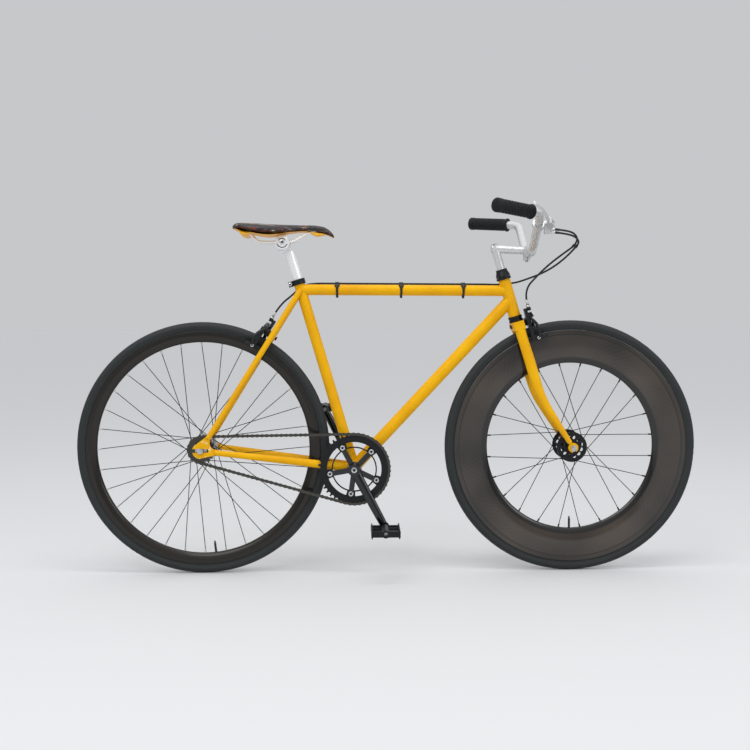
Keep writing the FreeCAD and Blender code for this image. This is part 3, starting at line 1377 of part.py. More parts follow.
# Rails, plugged at each end into a socket under the shell.
RAIL_END_GAP = 1
RAIL_BEND_REACH = 7.5
RAIL_FLARE = 8
RAIL_NARROWING = 15
SOCKET_LENGTH = 17
SOCKET_BREADTH = 14
SOCKET_DEPTH = 8
SOCKET_ROOT = 2
rails = []
sockets = []
rail_spaces = []
rail_half = mm.rail_spacing / 2
rear_x = saddle_rear + 0.18 * mm.saddle_length
front_x = saddle_rear + 0.86 * mm.saddle_length
for side in SIDES:
    rear_side = side * (rail_half + RAIL_FLARE)
    front_side = side * (rail_half - RAIL_NARROWING)
    rear_end = Vector(rear_x, rear_side, shell_underside(rear_x) - RAIL_END_GAP)
    front_end = Vector(front_x, front_side, shell_underside(front_x) - RAIL_END_GAP)
    bends = [Vector(rear_x + 6, side * (rail_half + 5), rail_level + 5),
             Vector(rear_x + 24, side * rail_half, rail_level),
             Vector(clamp_centre.x + 26, side * rail_half, rail_level),
             Vector(front_x - 26, side * (rail_half - 12), rail_level + 6)]
    rails.append(made(pipe([rear_end, *bends, front_end], mm.rail_radius, longest=RAIL_BEND_REACH)[0]))
    past_rear = rear_end + (rear_end - bends[0]).normalize() * mm.running_gap
    past_front = front_end + (front_end - bends[-1]).normalize() * mm.running_gap
    rail_spaces.append(made(pipe([past_rear, *bends, past_front], mm.rail_radius + mm.running_gap,
                                 longest=RAIL_BEND_REACH)[0]))
    for x, y in ((rear_x, rear_side), (front_x, front_side)):
        middle = Vector(x, y, shell_underside(x) + (SOCKET_ROOT - SOCKET_DEPTH) / 2)
        sockets.append(block(middle, Z, X, SOCKET_LENGTH, SOCKET_BREADTH, SOCKET_DEPTH + SOCKET_ROOT))
node("saddle_shell", cut(fuse(shell, *sockets), *rail_spaces))
node("saddle_rails", group(*rails))


# Dual-pivot calipers: across the wheel, up and out are their own three directions.
ARM_GAP = 0.4
ARM_FRONT_GAP = 1
MOUNT_GAP = 0.1
STAND_GAP = 0.5
BRACKET_THICKNESS = 3.6
stop_low = BRACKET_THICKNESS + ARM_GAP
anchor_low = stop_low + mm.arm_thickness + ARM_FRONT_GAP
PAD_FORWARD = 22
FOOT_HALF = 5
PAD_BOLT = 3.6
STOP_ACROSS = -27
STOP_LOW = 30
STOP_HIGH = 38
BARREL_TOP = 46
WIRE_OUT = anchor_low + mm.arm_thickness / 2
arm_face = mm.rim_width / 2 + mm.pad_gap + mm.pad_thickness
arm_outer = arm_face + mm.arm_width
arm_foot = mm.brake_reach + 5


def caliper(name, face, up, out, stand, depth, axle):
    """Mount, stop arm and anchor arm of one brake.

    It stands off the mounting face on a washer, and its bolt goes through a depth behind that face.
    """
    across = up.cross(out)
    origin = face + out * stand
    back = stand + depth + 5

    def at(a, h, n):
        return origin + across * a + up * h + out * n

    def layer(low):
        return facing(at(0, 0, low), out, across)

    def pad_and_foot(side, low):
        """Brake block lying along the rim, and the arm's foot with the bolt that holds it."""
        centre = at(side * (arm_face - mm.pad_thickness / 2), -mm.brake_reach, PAD_FORWARD)
        radial = Vector(centre.x - axle.x, 0, centre.z - axle.z).normalize()
        pad = block(centre, radial, radial.cross(Y), size.pad_length, size.pad_thickness, size.pad_height)
        foot_end = PAD_FORWARD + FOOT_HALF
        foot_centre = at(side * (arm_face + arm_outer) / 2, -mm.brake_reach, (low + foot_end) / 2)
        foot = block(foot_centre, out, across, size.arm_width, 2 * FOOT_HALF, foot_end - low)
        bolt = rod(at(side * (arm_outer - 1), -mm.brake_reach, PAD_FORWARD), across * side, PAD_BOLT, 4)
        return pad, fuse(foot, bolt)

    pivot = (mm.caliper_pivot_out, mm.caliper_pivot_up)
    bracket = plate(layer(0), BRACKET_THICKNESS,
                    [(-8, -7), (8, -7), (pivot[0] + 6, pivot[1] - 6), (pivot[0] + 6, pivot[1] + 6),
                     (pivot[0] - 4, pivot[1] + 7), (-8, 8)])
    stop_top = stop_low + mm.arm_thickness
    anchor_top = anchor_low + mm.arm_thickness
    bolt = rod(at(0, 0, -back), out, size.caliper_bolt_radius, back + stop_top + 4)
    washer = rod(at(0, 0, MOUNT_GAP - stand), out, size.caliper_bolt_radius + 3.5, stand - MOUNT_GAP)
    bolt_nut = rod(at(0, 0, stop_top + ARM_GAP), out, size.caliper_bolt_radius + 3, 5)
    back_nut = rod(at(0, 0, -back), out, size.caliper_bolt_radius + 2.5, 3.5)
    pin = rod(at(pivot[0], pivot[1], 1), out, size.caliper_bolt_radius, anchor_top + 2)
    spacer = rod(at(pivot[0], pivot[1], 1), out, size.caliper_bolt_radius + 2, anchor_low - ARM_GAP - 1)
    pin_head = rod(at(pivot[0], pivot[1], anchor_top + ARM_GAP), out, size.caliper_bolt_radius + 2.5, 3)
    node(name + "_caliper_mount", fuse(bracket, washer, bolt, bolt_nut, back_nut, pin, spacer, pin_head))

    play = size.caliper_bolt_radius + size.running_gap
    stop_plate = plate(layer(stop_low), size.arm_thickness,
                       [(10, -7), (10, 8), (0, 12), (-17, 18), (STOP_ACROSS + 6, STOP_HIGH),
                        (STOP_ACROSS - 6, STOP_HIGH), (-arm_outer, 10), (-arm_outer - 1, -12),
                        (-arm_outer, -arm_foot), (-arm_face, -arm_foot), (-arm_face + 1, -16), (-10, -9)])
    ear = block(at(STOP_ACROSS, (STOP_LOW + STOP_HIGH) / 2, (stop_low + anchor_top) / 2), out, across, 12,
                STOP_HIGH - STOP_LOW, anchor_top - stop_low)
    barrel = rod(at(STOP_ACROSS, STOP_HIGH - 1, WIRE_OUT), up, size.barrel_radius + 0.6,
                 BARREL_TOP - STOP_HIGH + 1)
    wire_hole = rod(at(STOP_ACROSS, 0, WIRE_OUT), up, 2, 60)
    stop_bore = rod(at(0, 0, 0), out, play, 60)
    pad, foot = pad_and_foot(-1, stop_low)
    stop_arm = cut(fuse(stop_plate, ear, barrel, foot), wire_hole, stop_bore)
    node(name + "_caliper_stop_arm", group(stop_arm, pad))

    anchor_plate = plate(layer(anchor_low), size.arm_thickness,
                         [(arm_outer, -arm_foot), (arm_outer + 1, 8), (pivot[0] + 5, 17), (8, 23),
                          (STOP_ACROSS + 3, 25), (STOP_ACROSS - 6, 20), (STOP_ACROSS - 6, 11), (8, 10.5),
                          (pivot[0] - 7, 0), (arm_face - 1, -14), (arm_face, -arm_foot)])
    anchor_bolt = rod(at(STOP_ACROSS + 1, 17, anchor_top - 1), out, 4.5, 4)
    anchor_bore = rod(at(pivot[0], pivot[1], 0), out, play, 60)
    pad, foot = pad_and_foot(1, anchor_low)
    node(name + "_caliper_anchor_arm", group(cut(fuse(anchor_plate, anchor_bolt, foot), anchor_bore), pad))
    return at(STOP_ACROSS, BARREL_TOP, WIRE_OUT)


front_stand = mm.headset_radius - mm.crown_depth / 2 - STAND_GAP
front_face = on_head(mm.bridge_reach) + head_forward * (mm.crown_depth / 2)
front_stop = caliper("front", front_face, head_up, head_forward, front_stand, mm.crown_depth, front_axle)
boss_reach = mm.bridge_radius + 2
rear_face = bridge_centre + bridge_out * boss_reach
rear_stop = caliper("rear", rear_face, seat_stay_along, bridge_out, STAND_GAP, 2 * boss_reach, rear_axle)

# Brake lever on the right-hand side of the bar, with two cable barrels.
bar_rise_right = (mirrored(bar_bend) - mirrored(bar_flat)).normalize()
lever_clamp = mirrored(bar_flat) + bar_rise_right * mm.lever_clamp_place
CLAMP_WIDTH = 13
CLAMP_WALL = 4
lever_pivot = lever_clamp + Vector(21, -43, 6)
lever_tip = lever_clamp + Vector(-25, -115, 45)
lever_along = (lever_tip - lever_pivot).normalize()
lever_squeeze = mirrored(bar_bend + bar_sweep * 70) - lever_pivot
lever_axis = lever_along.cross(lever_squeeze).normalize()
EYE_RADIUS = 6.5
EYE_HALF = 4.5
CHEEK = 3
body_end = lever_pivot - lever_along * 19
band = ring(lever_clamp - bar_rise_right * (CLAMP_WIDTH / 2), bar_rise_right, size.bar_radius + CLAMP_WALL,
            size.bar_radius + size.running_gap, CLAMP_WIDTH)
neck_start = lever_clamp + X * (mm.bar_radius + 7)
neck = rod(neck_start, body_end - neck_start, 7, (body_end - neck_start).Length)
neck_pad = block(lever_clamp + X * (mm.bar_radius + 4), X, bar_rise_right, CLAMP_WIDTH, CLAMP_WIDTH, 9)
barrel_middle = lever_clamp + Vector(19, -14, -13)
barrel_block = block(barrel_middle, Z, X, 13, 13, 22)
lever_parts = [band, neck, neck_pad, barrel_block]
barrel_ends = []
for step in (0.5, -0.5):
    start = barrel_middle + Z * (step * mm.barrel_spacing * 1.1 - 3)
    lever_parts.append(rod(start, X, size.barrel_radius, size.barrel_length))
    barrel_ends.append(start + X * mm.barrel_length)
for cheek_side in SIDES:
    middle = lever_axis * (cheek_side * (EYE_HALF + 0.3 + CHEEK / 2))
    lever_parts.append(block((lever_pivot + body_end) / 2 + middle, lever_axis, lever_along, 22, 12, CHEEK))
    lever_parts.append(rod(lever_pivot + middle - lever_axis * (CHEEK / 2), lever_axis, EYE_RADIUS, CHEEK))
pin_half_length = EYE_HALF + CHEEK + 1.5
eye_space = rod(lever_pivot - lever_axis * (EYE_HALF + 0.3), lever_axis, EYE_RADIUS + 1.5, 2 * EYE_HALF + 0.6)
bar_space = rod(mirrored(bar_flat), bar_rise_right, size.bar_radius + size.running_gap, 200)
pin = rod(lever_pivot - lever_axis * pin_half_length, lever_axis, size.lever_pin_radius,
          2 * pin_half_length)
bracket_body = cut(fuse(*lever_parts), eye_space, bar_space)
node("lever_bracket", fuse(bracket_body, pin))
eye = rod(lever_pivot - lever_axis * EYE_HALF, lever_axis, EYE_RADIUS, 2 * EYE_HALF)
NECK_REACH = EYE_RADIUS + 2.5
lever_neck = block(lever_pivot + lever_along * (NECK_REACH / 2), lever_axis, lever_along, NECK_REACH,
                   2 * EYE_HALF, 2 * EYE_HALF)
blade_root = lever_pivot + lever_along * (NECK_REACH - 0.5)
blade = oval(blade_root, lever_tip, (size.lever_width / 2, size.lever_thickness / 2 + 0.6),
             (size.lever_width / 2 - 1, size.lever_thickness / 2), lever_axis)
tip_ball = doc.addObject("Part::Sphere", "Tip")
bind(tip_ball, Radius=size.lever_width / 2 - 0.5)
tip_ball.Placement = Placement(lever_tip, Rotation())
eye_bore = rod(lever_pivot - lever_axis * 10, lever_axis, size.lever_pin_radius + size.running_gap, 20)
node("brake_lever", cut(fuse(eye, lever_neck, blade, tip_ball), eye_bore))

# Cables in their housings, from the lever to the two calipers: a bow ahead of the lever, then a falling run.
CABLE_GAP = 0.4
LEVER_GAP = 0.9
JOIN_GAP = 0.2
HEAD_CABLE_GAP = 4.1
UPPER_BOW = (Vector(29.5, 9, -2), Vector(53.5, 21, -8), Vector(65.5, 36, -22), Vector(60, 51, -38))
LOWER_BOW = (Vector(30.5, 9, -2.5), Vector(57, 23, -10), Vector(71, 41, -26), Vector(64, 59, -42))
FRONT_RUN = ((0.2, 0, -2), (0.45, 4, -2), (0.68, 7, 0))
REAR_RUN = ((0.107, 6, -8), (0.262, 14, -16), (0.446, 19, -20), (0.619, 23, -20), (0.762, 25, -16),
            (0.881, 17.1, -8.5))
FRONT_FALL = 38
REAR_FALL = 36
JOIN_PLACE = Vector(-10, 0, 18.1)
HEAD_EXIT = Vector(-19, -2, -1.4)
PAST_SEAT = Vector(4.9, 23, 13)
BEHIND_SEAT = Vector(-25, 28, -14.1)
HOUSING_SIDE = math.radians(8)
HOUSING_REAR = 0.0747
HOUSING_FRONT = 0.9016


def falling(start, end, run):
    """Points of a run from start to end, each at a share of it and set off to the left and up."""
    return [start + (end - start) * share + Y * left + Z * rise for share, left, rise in run]


upper_end, lower_end = barrel_ends
upper_bow = [upper_end + step for step in UPPER_BOW]
lower_bow = [lower_end + step for step in LOWER_BOW]
front_drop = front_stop + head_up * FRONT_FALL
front_route = [upper_end + X * LEVER_GAP, *upper_bow, *falling(upper_bow[-1], front_drop, FRONT_RUN),
               front_drop, front_stop + head_up * CABLE_GAP]
beside_head = Y * (mm.head_tube_radius + mm.cable_radius + HEAD_CABLE_GAP)
join = top_tube_front + beside_head + JOIN_PLACE
loop_route = [lower_end + X * LEVER_GAP, *lower_bow, *falling(lower_bow[-1], join, REAR_RUN),
              join + X * JOIN_GAP]
cable_lift = Y * math.sin(HOUSING_SIDE) + Z * math.cos(HOUSING_SIDE)
cable_lift *= mm.top_tube_radius + mm.cable_radius + CABLE_GAP


def on_top_tube(share):
    return top_tube_rear + (top_tube_front - top_tube_rear) * share


rear_route = [join, join + HEAD_EXIT, on_top_tube(HOUSING_FRONT) + cable_lift,
              on_top_tube(HOUSING_REAR) + cable_lift, top_tube_rear + PAST_SEAT,
              top_tube_rear + BEHIND_SEAT, rear_stop + seat_stay_along * REAR_FALL,
              rear_stop + seat_stay_along * CABLE_GAP]
for label, route in (("front_brake_cable", front_route), ("rear_brake_cable_loop", loop_route),
                     ("rear_brake_cable", rear_route)):
    solid, used = pipe(route, mm.cable_radius)
    print(label, "bend radii", " ".join(f"{radius:.1f}" for radius in used))
    node(label, made(solid))

# Clips that hold the rear housing to the top tube.
clips = []
HOLDER_WIDTH = 11
HOLDER_WALL = 1.8
KNOB_RADIUS = 3.6
KNOB_ROOT = 1.5
CLIP_SHARES = (0.175, 0.4845, 0.785)
for share in CLIP_SHARES:
    centre = on_top_tube(share)
    start = centre - top_tube_along * (mm.clip_width / 2)
    band = rod(start, top_tube_along, size.top_tube_radius + size.clip_wall, size.clip_width)
    housing = centre + cable_lift
    holder = rod(housing - top_tube_along * (HOLDER_WIDTH / 2), top_tube_along,
                 size.cable_radius + HOLDER_WALL, HOLDER_WIDTH)
    knob = doc.addObject("Part::Sphere", "Knob")
    bind(knob, Radius=KNOB_RADIUS)
    knob_drop = mm.top_tube_radius + mm.clip_wall + KNOB_RADIUS - KNOB_ROOT
    knob.Placement = Placement(centre - Z * knob_drop, Rotation())
    tube_space = rod(centre - top_tube_along * HOLDER_WIDTH, top_tube_along,
                     size.top_tube_radius + size.running_gap, 2 * HOLDER_WIDTH)
    cable_space = rod(housing - top_tube_along * HOLDER_WIDTH, top_tube_along,
                      size.cable_radius + size.running_gap, 2 * HOLDER_WIDTH)
    clips.append(cut(fuse(band, holder, knob), tube_space, cable_space))
node("cable_clips", group(*clips))

doc.recompute()
for item in doc.Objects:
    if "Invalid" in item.State or "Error" in item.State:
        raise RuntimeError(f"{item.Name} did not build")
os.makedirs("parts", exist_ok=True)
for label, item in nodes.items():
    shape = item.Shape
    if shape.isNull() or not shape.isValid() or not shape.Solids:
        raise RuntimeError(f"{label} has no sound shape")
    shape.exportStep(f"parts/{label}.step")
    print(f"{label:24s} solids {len(shape.Solids):3d} volume {shape.Volume / 1000:9.2f} cm3")
print(len(nodes), "nodes")
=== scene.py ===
# %% [markdown]
# # A fixed gear bicycle
# The frame, wheels, drive and brakes come from the CAD model and are already in the right place.
# This lesson gives them their real finishes, and adds the pieces that a solid modeller does badly:
# the padded saddle, the ribbed grips, the bending cables and the rubber brake blocks.

# %% Load the fixed frame
import json
import math
import bpy
import numpy as np
from mathutils import Matrix, Vector


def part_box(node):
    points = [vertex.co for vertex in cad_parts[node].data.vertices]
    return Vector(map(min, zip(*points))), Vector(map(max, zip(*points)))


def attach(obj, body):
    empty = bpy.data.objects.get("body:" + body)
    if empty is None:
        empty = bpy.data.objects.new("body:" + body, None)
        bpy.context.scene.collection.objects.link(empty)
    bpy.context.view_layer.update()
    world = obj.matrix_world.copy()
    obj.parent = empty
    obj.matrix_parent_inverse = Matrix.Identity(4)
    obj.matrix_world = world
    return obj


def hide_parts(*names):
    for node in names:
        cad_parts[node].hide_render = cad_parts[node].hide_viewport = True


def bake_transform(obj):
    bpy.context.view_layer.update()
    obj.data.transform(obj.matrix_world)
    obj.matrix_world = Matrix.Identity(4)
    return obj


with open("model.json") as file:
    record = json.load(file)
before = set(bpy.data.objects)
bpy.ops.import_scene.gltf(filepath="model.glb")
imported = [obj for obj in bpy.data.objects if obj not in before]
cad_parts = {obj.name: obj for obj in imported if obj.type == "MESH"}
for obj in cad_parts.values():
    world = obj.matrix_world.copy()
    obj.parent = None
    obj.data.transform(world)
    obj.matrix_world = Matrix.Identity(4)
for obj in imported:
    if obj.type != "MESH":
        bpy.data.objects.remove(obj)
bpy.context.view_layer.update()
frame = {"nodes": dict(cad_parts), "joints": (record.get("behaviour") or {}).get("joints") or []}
nodes = frame["nodes"]
joints = {joint["name"]: joint for joint in frame["joints"]}
MM = 0.001

# %% [markdown]
# ## Colours and shader nodes
# A paint shop quotes colours as sRGB hex values, while a shader works with linear light.
# One function makes that step, and one other adds a shader node with its settings and links,
# so that every finish below reads as a short recipe. A third gives a colour ramp its stops.

# %% Colour and node helpers


def paint(code):
    """Linear RGBA of an sRGB hex code: c/12.92 near black, else ((c + 0.055) / 1.055) ** 2.4."""
    channels = np.array([int(code[i : i + 2], 16) for i in (1, 3, 5)]) / 255
    linear = np.where(channels <= 0.04045, channels / 12.92, ((channels + 0.055) / 1.055) ** 2.4)
    return (*linear.tolist(), 1.0)


def add(tree, kind, inputs=None, **settings):
    """One shader node: settings are its properties, inputs are numbers, colours or sockets to link."""
    node = tree.nodes.new("ShaderNode" + kind)
    for name, value in settings.items():
        setattr(node, name, value)
    for name, value in (inputs or {}).items():
        if isinstance(value, bpy.types.NodeSocket):
            tree.links.new(value, node.inputs[name])
        else:
            node.inputs[name].default_value = value
    return node


def grade(ramp, first, last, *between):
    """Stops of a colour ramp as (place, colour): its own two ends, then the ones between them."""
    for element, (place, colour) in zip(ramp.elements, (first, last)):
        element.position = place
        element.color = colour
    for place, colour in between:
        ramp.elements.new(place).color = colour


def finish(name, colour, metallic=0.0, roughness=0.5, **sockets):
    """A material with one Principled shader; further sockets are given by name with _ for spaces."""
    material = bpy.data.materials.new(name)
    material.use_nodes = True
    tree = material.node_tree
    shader = tree.nodes["Principled BSDF"]
    shader.inputs["Base Color"].default_value = paint(colour)
    shader.inputs["Metallic"].default_value = metallic
    shader.inputs["Roughness"].default_value = roughness
    for socket, value in sockets.items():
        shader.inputs[socket.replace("_", " ")].default_value = value
    return material, tree, shader


def plain(name, colour, **sockets):
    """A finish of one even colour, with no pattern."""
    return finish(name, colour, **sockets)[0]


def per_mm(size):
    """Noise scale that gives features of a size in millimetres on Object coordinates in metres."""
    return 1000.0 / size


# %% [markdown]
# ## Wheel coordinates
# Tyre tread, carbon weave and nipples all follow the wheel, so their patterns need the distance from the axle
# and the angle round it. Both come from Object coordinates by a subtraction, a length and an arctangent.

# %% Polar coordinates round an axle


def about_axle(tree, axle):
    """Sockets (radius in metres, angle in radians, sideways place in metres) round a wheel's axle."""
    place = add(tree, "TexCoord").outputs["Object"]
    local = add(tree, "VectorMath", {0: place, 1: axle}, operation="SUBTRACT").outputs[0]
    axes = add(tree, "SeparateXYZ", {0: local})
    flat = add(tree, "CombineXYZ", {0: axes.outputs[0], 2: axes.outputs[2]}).outputs[0]
    radius = add(tree, "VectorMath", {0: flat}, operation="LENGTH").outputs["Value"]
    angle = add(tree, "Math", {0: axes.outputs[2], 1: axes.outputs[0]}, operation="ARCTAN2").outputs[0]
    return radius, angle, axes.outputs[1]


front_axle = Vector(joints["front_wheel_spin"]["pos_m"])
rear_axle = Vector(joints["rear_wheel_spin"]["pos_m"])
print("axles", tuple(front_axle), tuple(rear_axle))

# %% [markdown]
# ## Enamelled steel
# The frame is steel sprayed amber. Sprayed enamel is smooth with a faint orange-peel ripple a few millimetres
# long, and slightly uneven in tone where it has faded. In a ring round the rear axle, clear of the nut, the
# colour turns cream in scattered patches. A thin clear coat gives the soft highlight.

# %% Amber enamel
FINE_BUMP = 0.2 * MM
ORANGE_PEEL = 2.5
FADE_PATCH = 90
CREAM_PATCH = 4.0
CREAM_LEVEL = 0.6
NUT_REACH, NUT_OUTER = 0.014, 0.02
CREAM_FULL, CREAM_OUTER = 0.028, 0.038


def amber_enamel():
    """Base amber with slow fading, cream patches in a ring round the rear axle and an orange-peel ripple."""
    material, tree, shader = finish("amber_enamel", "#E9AB00", roughness=0.42, Specular_IOR_Level=0.14,
                                    Coat_Weight=0.05, Coat_Roughness=0.22)
    place = add(tree, "TexCoord").outputs["Object"]
    fade = add(tree, "TexNoise", {"Vector": place, "Scale": per_mm(FADE_PATCH), "Detail": 4.0})
    tone = add(tree, "ValToRGB", {"Fac": fade.outputs["Fac"]})
    grade(tone.color_ramp, (0.3, paint("#DD9D00")), (0.75, paint("#EDB400")))
    # Cream patches: noise above a level, in a ring from 14 to 38 mm round the rear axle, clear of the nut.
    radius = about_axle(tree, rear_axle)[0]
    reach = add(tree, "MapRange", {"Value": radius, "From Min": CREAM_OUTER, "From Max": CREAM_FULL})
    clear = add(tree, "MapRange", {"Value": radius, "From Min": NUT_REACH, "From Max": NUT_OUTER})
    edge = add(tree, "Math", {0: reach.outputs[0], 1: clear.outputs[0]}, operation="MULTIPLY")
    cream_noise = add(tree, "TexNoise", {"Vector": place, "Scale": per_mm(CREAM_PATCH), "Detail": 3.0})
    cream_share = add(tree, "Math", {0: cream_noise.outputs["Fac"], 1: edge.outputs[0]}, operation="MULTIPLY")
    cream_mask = add(tree, "Math", {0: cream_share.outputs[0], 1: CREAM_LEVEL}, operation="GREATER_THAN")
    colour = add(tree, "Mix", {0: cream_mask.outputs[0], 6: tone.outputs["Color"], 7: paint("#E6DCC0")},
                 data_type="RGBA")
    tree.links.new(colour.outputs[2], shader.inputs["Base Color"])
    peel = add(tree, "TexNoise", {"Vector": place, "Scale": per_mm(ORANGE_PEEL), "Detail": 1.0})
    bump = add(tree, "Bump", {"Height": peel.outputs["Fac"], "Strength": 0.03, "Distance": FINE_BUMP})
    tree.links.new(bump.outputs["Normal"], shader.inputs["Normal"])
    return material


# %% [markdown]
# ## Metals
# One recipe serves nearly every fitting: a tone, a roughness, and one fine noise that breaks the
# highlight up a little. Anodised aluminium is matt and dark, lacquer is glossy, polished and satin
# aluminium are bright, and plated steel is greyer and duller. The studio is pale and a bare mirror
# would vanish in it, so the bright aluminium keeps part of its light diffuse.

# %% Metal finishes
NOISE_LOW = 0.25
NOISE_HIGH = 0.75


def metal(name, colour, roughness, spread, grain, strength, metallic=1.0):
    """Metal whose roughness varies by spread over grains of a size in millimetres, with a light bump."""
    material, tree, shader = finish(name, colour, metallic=metallic, roughness=roughness)
    place = add(tree, "TexCoord").outputs["Object"]
    noise = add(tree, "TexNoise", {"Vector": place, "Scale": per_mm(grain), "Detail": 1.0})
    rough = add(tree, "MapRange", {"Value": noise.outputs["Fac"],
                                   "From Min": NOISE_LOW, "From Max": NOISE_HIGH,
                                   "To Min": roughness - spread, "To Max": roughness + spread})
    tree.links.new(rough.outputs[0], shader.inputs["Roughness"])
    bump = add(tree, "Bump", {"Height": noise.outputs["Fac"], "Strength": strength, "Distance": FINE_BUMP})
    tree.links.new(bump.outputs["Normal"], shader.inputs["Normal"])
    return material


# %% [markdown]
# ## Carbon fibre under clear coat
# The deep front rim is laid up from carbon fibre. What the eye sees is a brown-black twill, two
# tows over and two under, below a thick gloss lacquer, with a plainer band at the brake track and
# a darker inner edge. The twill follows the rim, so it is drawn in wheel coordinates: the tow is
# drawn 7 mm wide, about twice the real one, so that it still shows from camera distance.

# %% Clear-coated carbon
TOW = 7.0
WEAVE_RADIUS = 0.26
WEAVE_DEPTH = 0.02
CLOUD = 190
RIM_INNER = 0.222
RIM_OUTER = 0.311
INNER_GREY = (0.05, 0.05, 0.05, 1)
TRACK_GREY = (0.75, 0.78, 0.76, 1)
RIM_BANDS = ((0.15, 0.06), (0.21, 1.0), (0.84, 1.0), (0.85, 0.2), (0.87, 0.2), (0.88, 0.75))


def clear_coated_carbon():
    """Twill stripes sin(angle * n + radius * k) in two browns, with plain bands at track and inner edge."""
    material, tree, shader = finish("clear_coated_carbon", "#2B2622", roughness=0.34, Specular_IOR_Level=0.15,
                                    Coat_Weight=1.0, Coat_Roughness=0.05)
    radius, angle, _ = about_axle(tree, front_axle)
    wave = math.pi / (TOW * MM)
    round_rim = add(tree, "Math", {0: angle, 1: wave * WEAVE_RADIUS}, operation="MULTIPLY")
    across = add(tree, "Math", {0: radius, 1: wave}, operation="MULTIPLY")
    twill = add(tree, "Math", {0: round_rim.outputs[0], 1: across.outputs[0]}, operation="ADD")
    weave = add(tree, "Math", {0: twill.outputs[0]}, operation="SINE")
    place = add(tree, "TexCoord").outputs["Object"]
    cloud = add(tree, "TexNoise", {"Vector": place, "Scale": per_mm(CLOUD), "Detail": 1.5})
    level = add(tree, "MapRange", {"Value": weave.outputs[0], "From Min": -1.0, "From Max": 1.0,
                                   "To Min": -WEAVE_DEPTH, "To Max": WEAVE_DEPTH})
    total = add(tree, "Math", {0: cloud.outputs["Fac"], 1: level.outputs[0]}, operation="ADD")
    tone = add(tree, "ValToRGB", {"Fac": total.outputs[0]})
    grade(tone.color_ramp, (0.32, paint("#15120F")), (0.72, paint("#443B33")))
    depth = add(tree, "MapRange", {"Value": radius, "From Min": RIM_INNER, "From Max": RIM_OUTER})
    bands = add(tree, "ValToRGB", {"Fac": depth.outputs[0]})
    greys = ((share, (grey, grey, grey, 1)) for share, grey in RIM_BANDS)
    grade(bands.color_ramp, (0.0, INNER_GREY), (1.0, TRACK_GREY), *greys)
    banded = add(tree, "Mix", {0: 1.0, 6: tone.outputs["Color"], 7: bands.outputs["Color"]},
                 data_type="RGBA", blend_type="MULTIPLY")
    tree.links.new(banded.outputs[2], shader.inputs["Base Color"])
    return material


# %% [markdown]
# ## Tyre rubber
# A road tyre is moulded from matt black rubber with a bluish cast. Its crown carries a fine file
# tread, and its side walls have a few raised rings. Both are pressed into the rubber by the mould,
# so they are drawn as bump in wheel coordinates, at their real spacing.

# %% Moulded tyre rubber
FILE_TREAD = 3.2
RING_SPACING = 2.4
TYRE_RADIUS = 0.336
CROWN_FROM, CROWN_FULL = 0.3325, 0.3335
WALL_FROM, WALL_FULL = 0.3225, 0.3215
MOULD_DEPTH = 0.4 * MM
DUST_PATCH = 45


def tyre_rubber(name, axle):
    """Bump from a diamond file tread on the crown and rings on the side walls, chosen by the radius."""
    material, tree, shader = finish(name, "#161B1C", roughness=0.66)
    radius, angle, side = about_axle(tree, axle)
    wave = math.pi / (FILE_TREAD * MM)
    step = add(tree, "Math", {0: angle, 1: wave * TYRE_RADIUS}, operation="MULTIPLY")
    lean = add(tree, "Math", {0: side, 1: wave}, operation="MULTIPLY")
    windings = []
    for way in ("ADD", "SUBTRACT"):
        wound = add(tree, "Math", {0: step.outputs[0], 1: lean.outputs[0]}, operation=way)
        windings.append(add(tree, "Math", {0: wound.outputs[0]}, operation="SINE").outputs[0])
    tread = add(tree, "Math", {0: windings[0], 1: windings[1]}, operation="MULTIPLY")
    crown = add(tree, "MapRange", {"Value": radius, "From Min": CROWN_FROM, "From Max": CROWN_FULL})
    turns = add(tree, "Math", {0: radius, 1: 2 * math.pi / (RING_SPACING * MM)}, operation="MULTIPLY")
    rings = add(tree, "Math", {0: turns.outputs[0]}, operation="SINE")
    wall = add(tree, "MapRange", {"Value": radius, "From Min": WALL_FROM, "From Max": WALL_FULL})
    tread_part = add(tree, "Math", {0: tread.outputs[0], 1: crown.outputs[0]}, operation="MULTIPLY")
    ring_part = add(tree, "Math", {0: rings.outputs[0], 1: wall.outputs[0]}, operation="MULTIPLY")
    height = add(tree, "Math", {0: tread_part.outputs[0], 1: ring_part.outputs[0]}, operation="ADD")
    bump = add(tree, "Bump", {"Height": height.outputs[0], "Strength": 0.35, "Distance": MOULD_DEPTH})
    tree.links.new(bump.outputs["Normal"], shader.inputs["Normal"])
    place = add(tree, "TexCoord").outputs["Object"]
    dust = add(tree, "TexNoise", {"Vector": place, "Scale": per_mm(DUST_PATCH), "Detail": 5.0})
    tone = add(tree, "ValToRGB", {"Fac": dust.outputs["Fac"]})
    grade(tone.color_ramp, (0.0, paint("#121718")), (1.0, paint("#1E2425")))
    tree.links.new(tone.outputs["Color"], shader.inputs["Base Color"])
    return material


# %% [markdown]
# ## Black spokes with bright nipples
# The spokes are black oxide steel, and the rear wheel's nipples are bright brass plated with
# nickel. Both are in one CAD node, so the finish changes with the distance from the axle.

# %% Spoke finish
SPOKE_BLACK = "#0E0F10"


def spoke_steel(name, axle, nipple_start, nipple_colour):
    """Black oxide up to a radius, nipple metal beyond it."""
    material, tree, shader = finish(name, SPOKE_BLACK, metallic=0.3, roughness=0.5)
    radius = about_axle(tree, axle)[0]
    outer = add(tree, "Math", {0: radius, 1: nipple_start}, operation="GREATER_THAN")
    colour = add(tree, "Mix", {0: outer.outputs[0], 6: paint(SPOKE_BLACK), 7: paint(nipple_colour)},
                 data_type="RGBA")
    tree.links.new(colour.outputs[2], shader.inputs["Base Color"])
    return material


# %% [markdown]
# ## Handing the finishes to the CAD nodes
# A CAD node keeps its mesh and only its material slot changes. One table says which finish each
# node wears, in the words of the parts list.

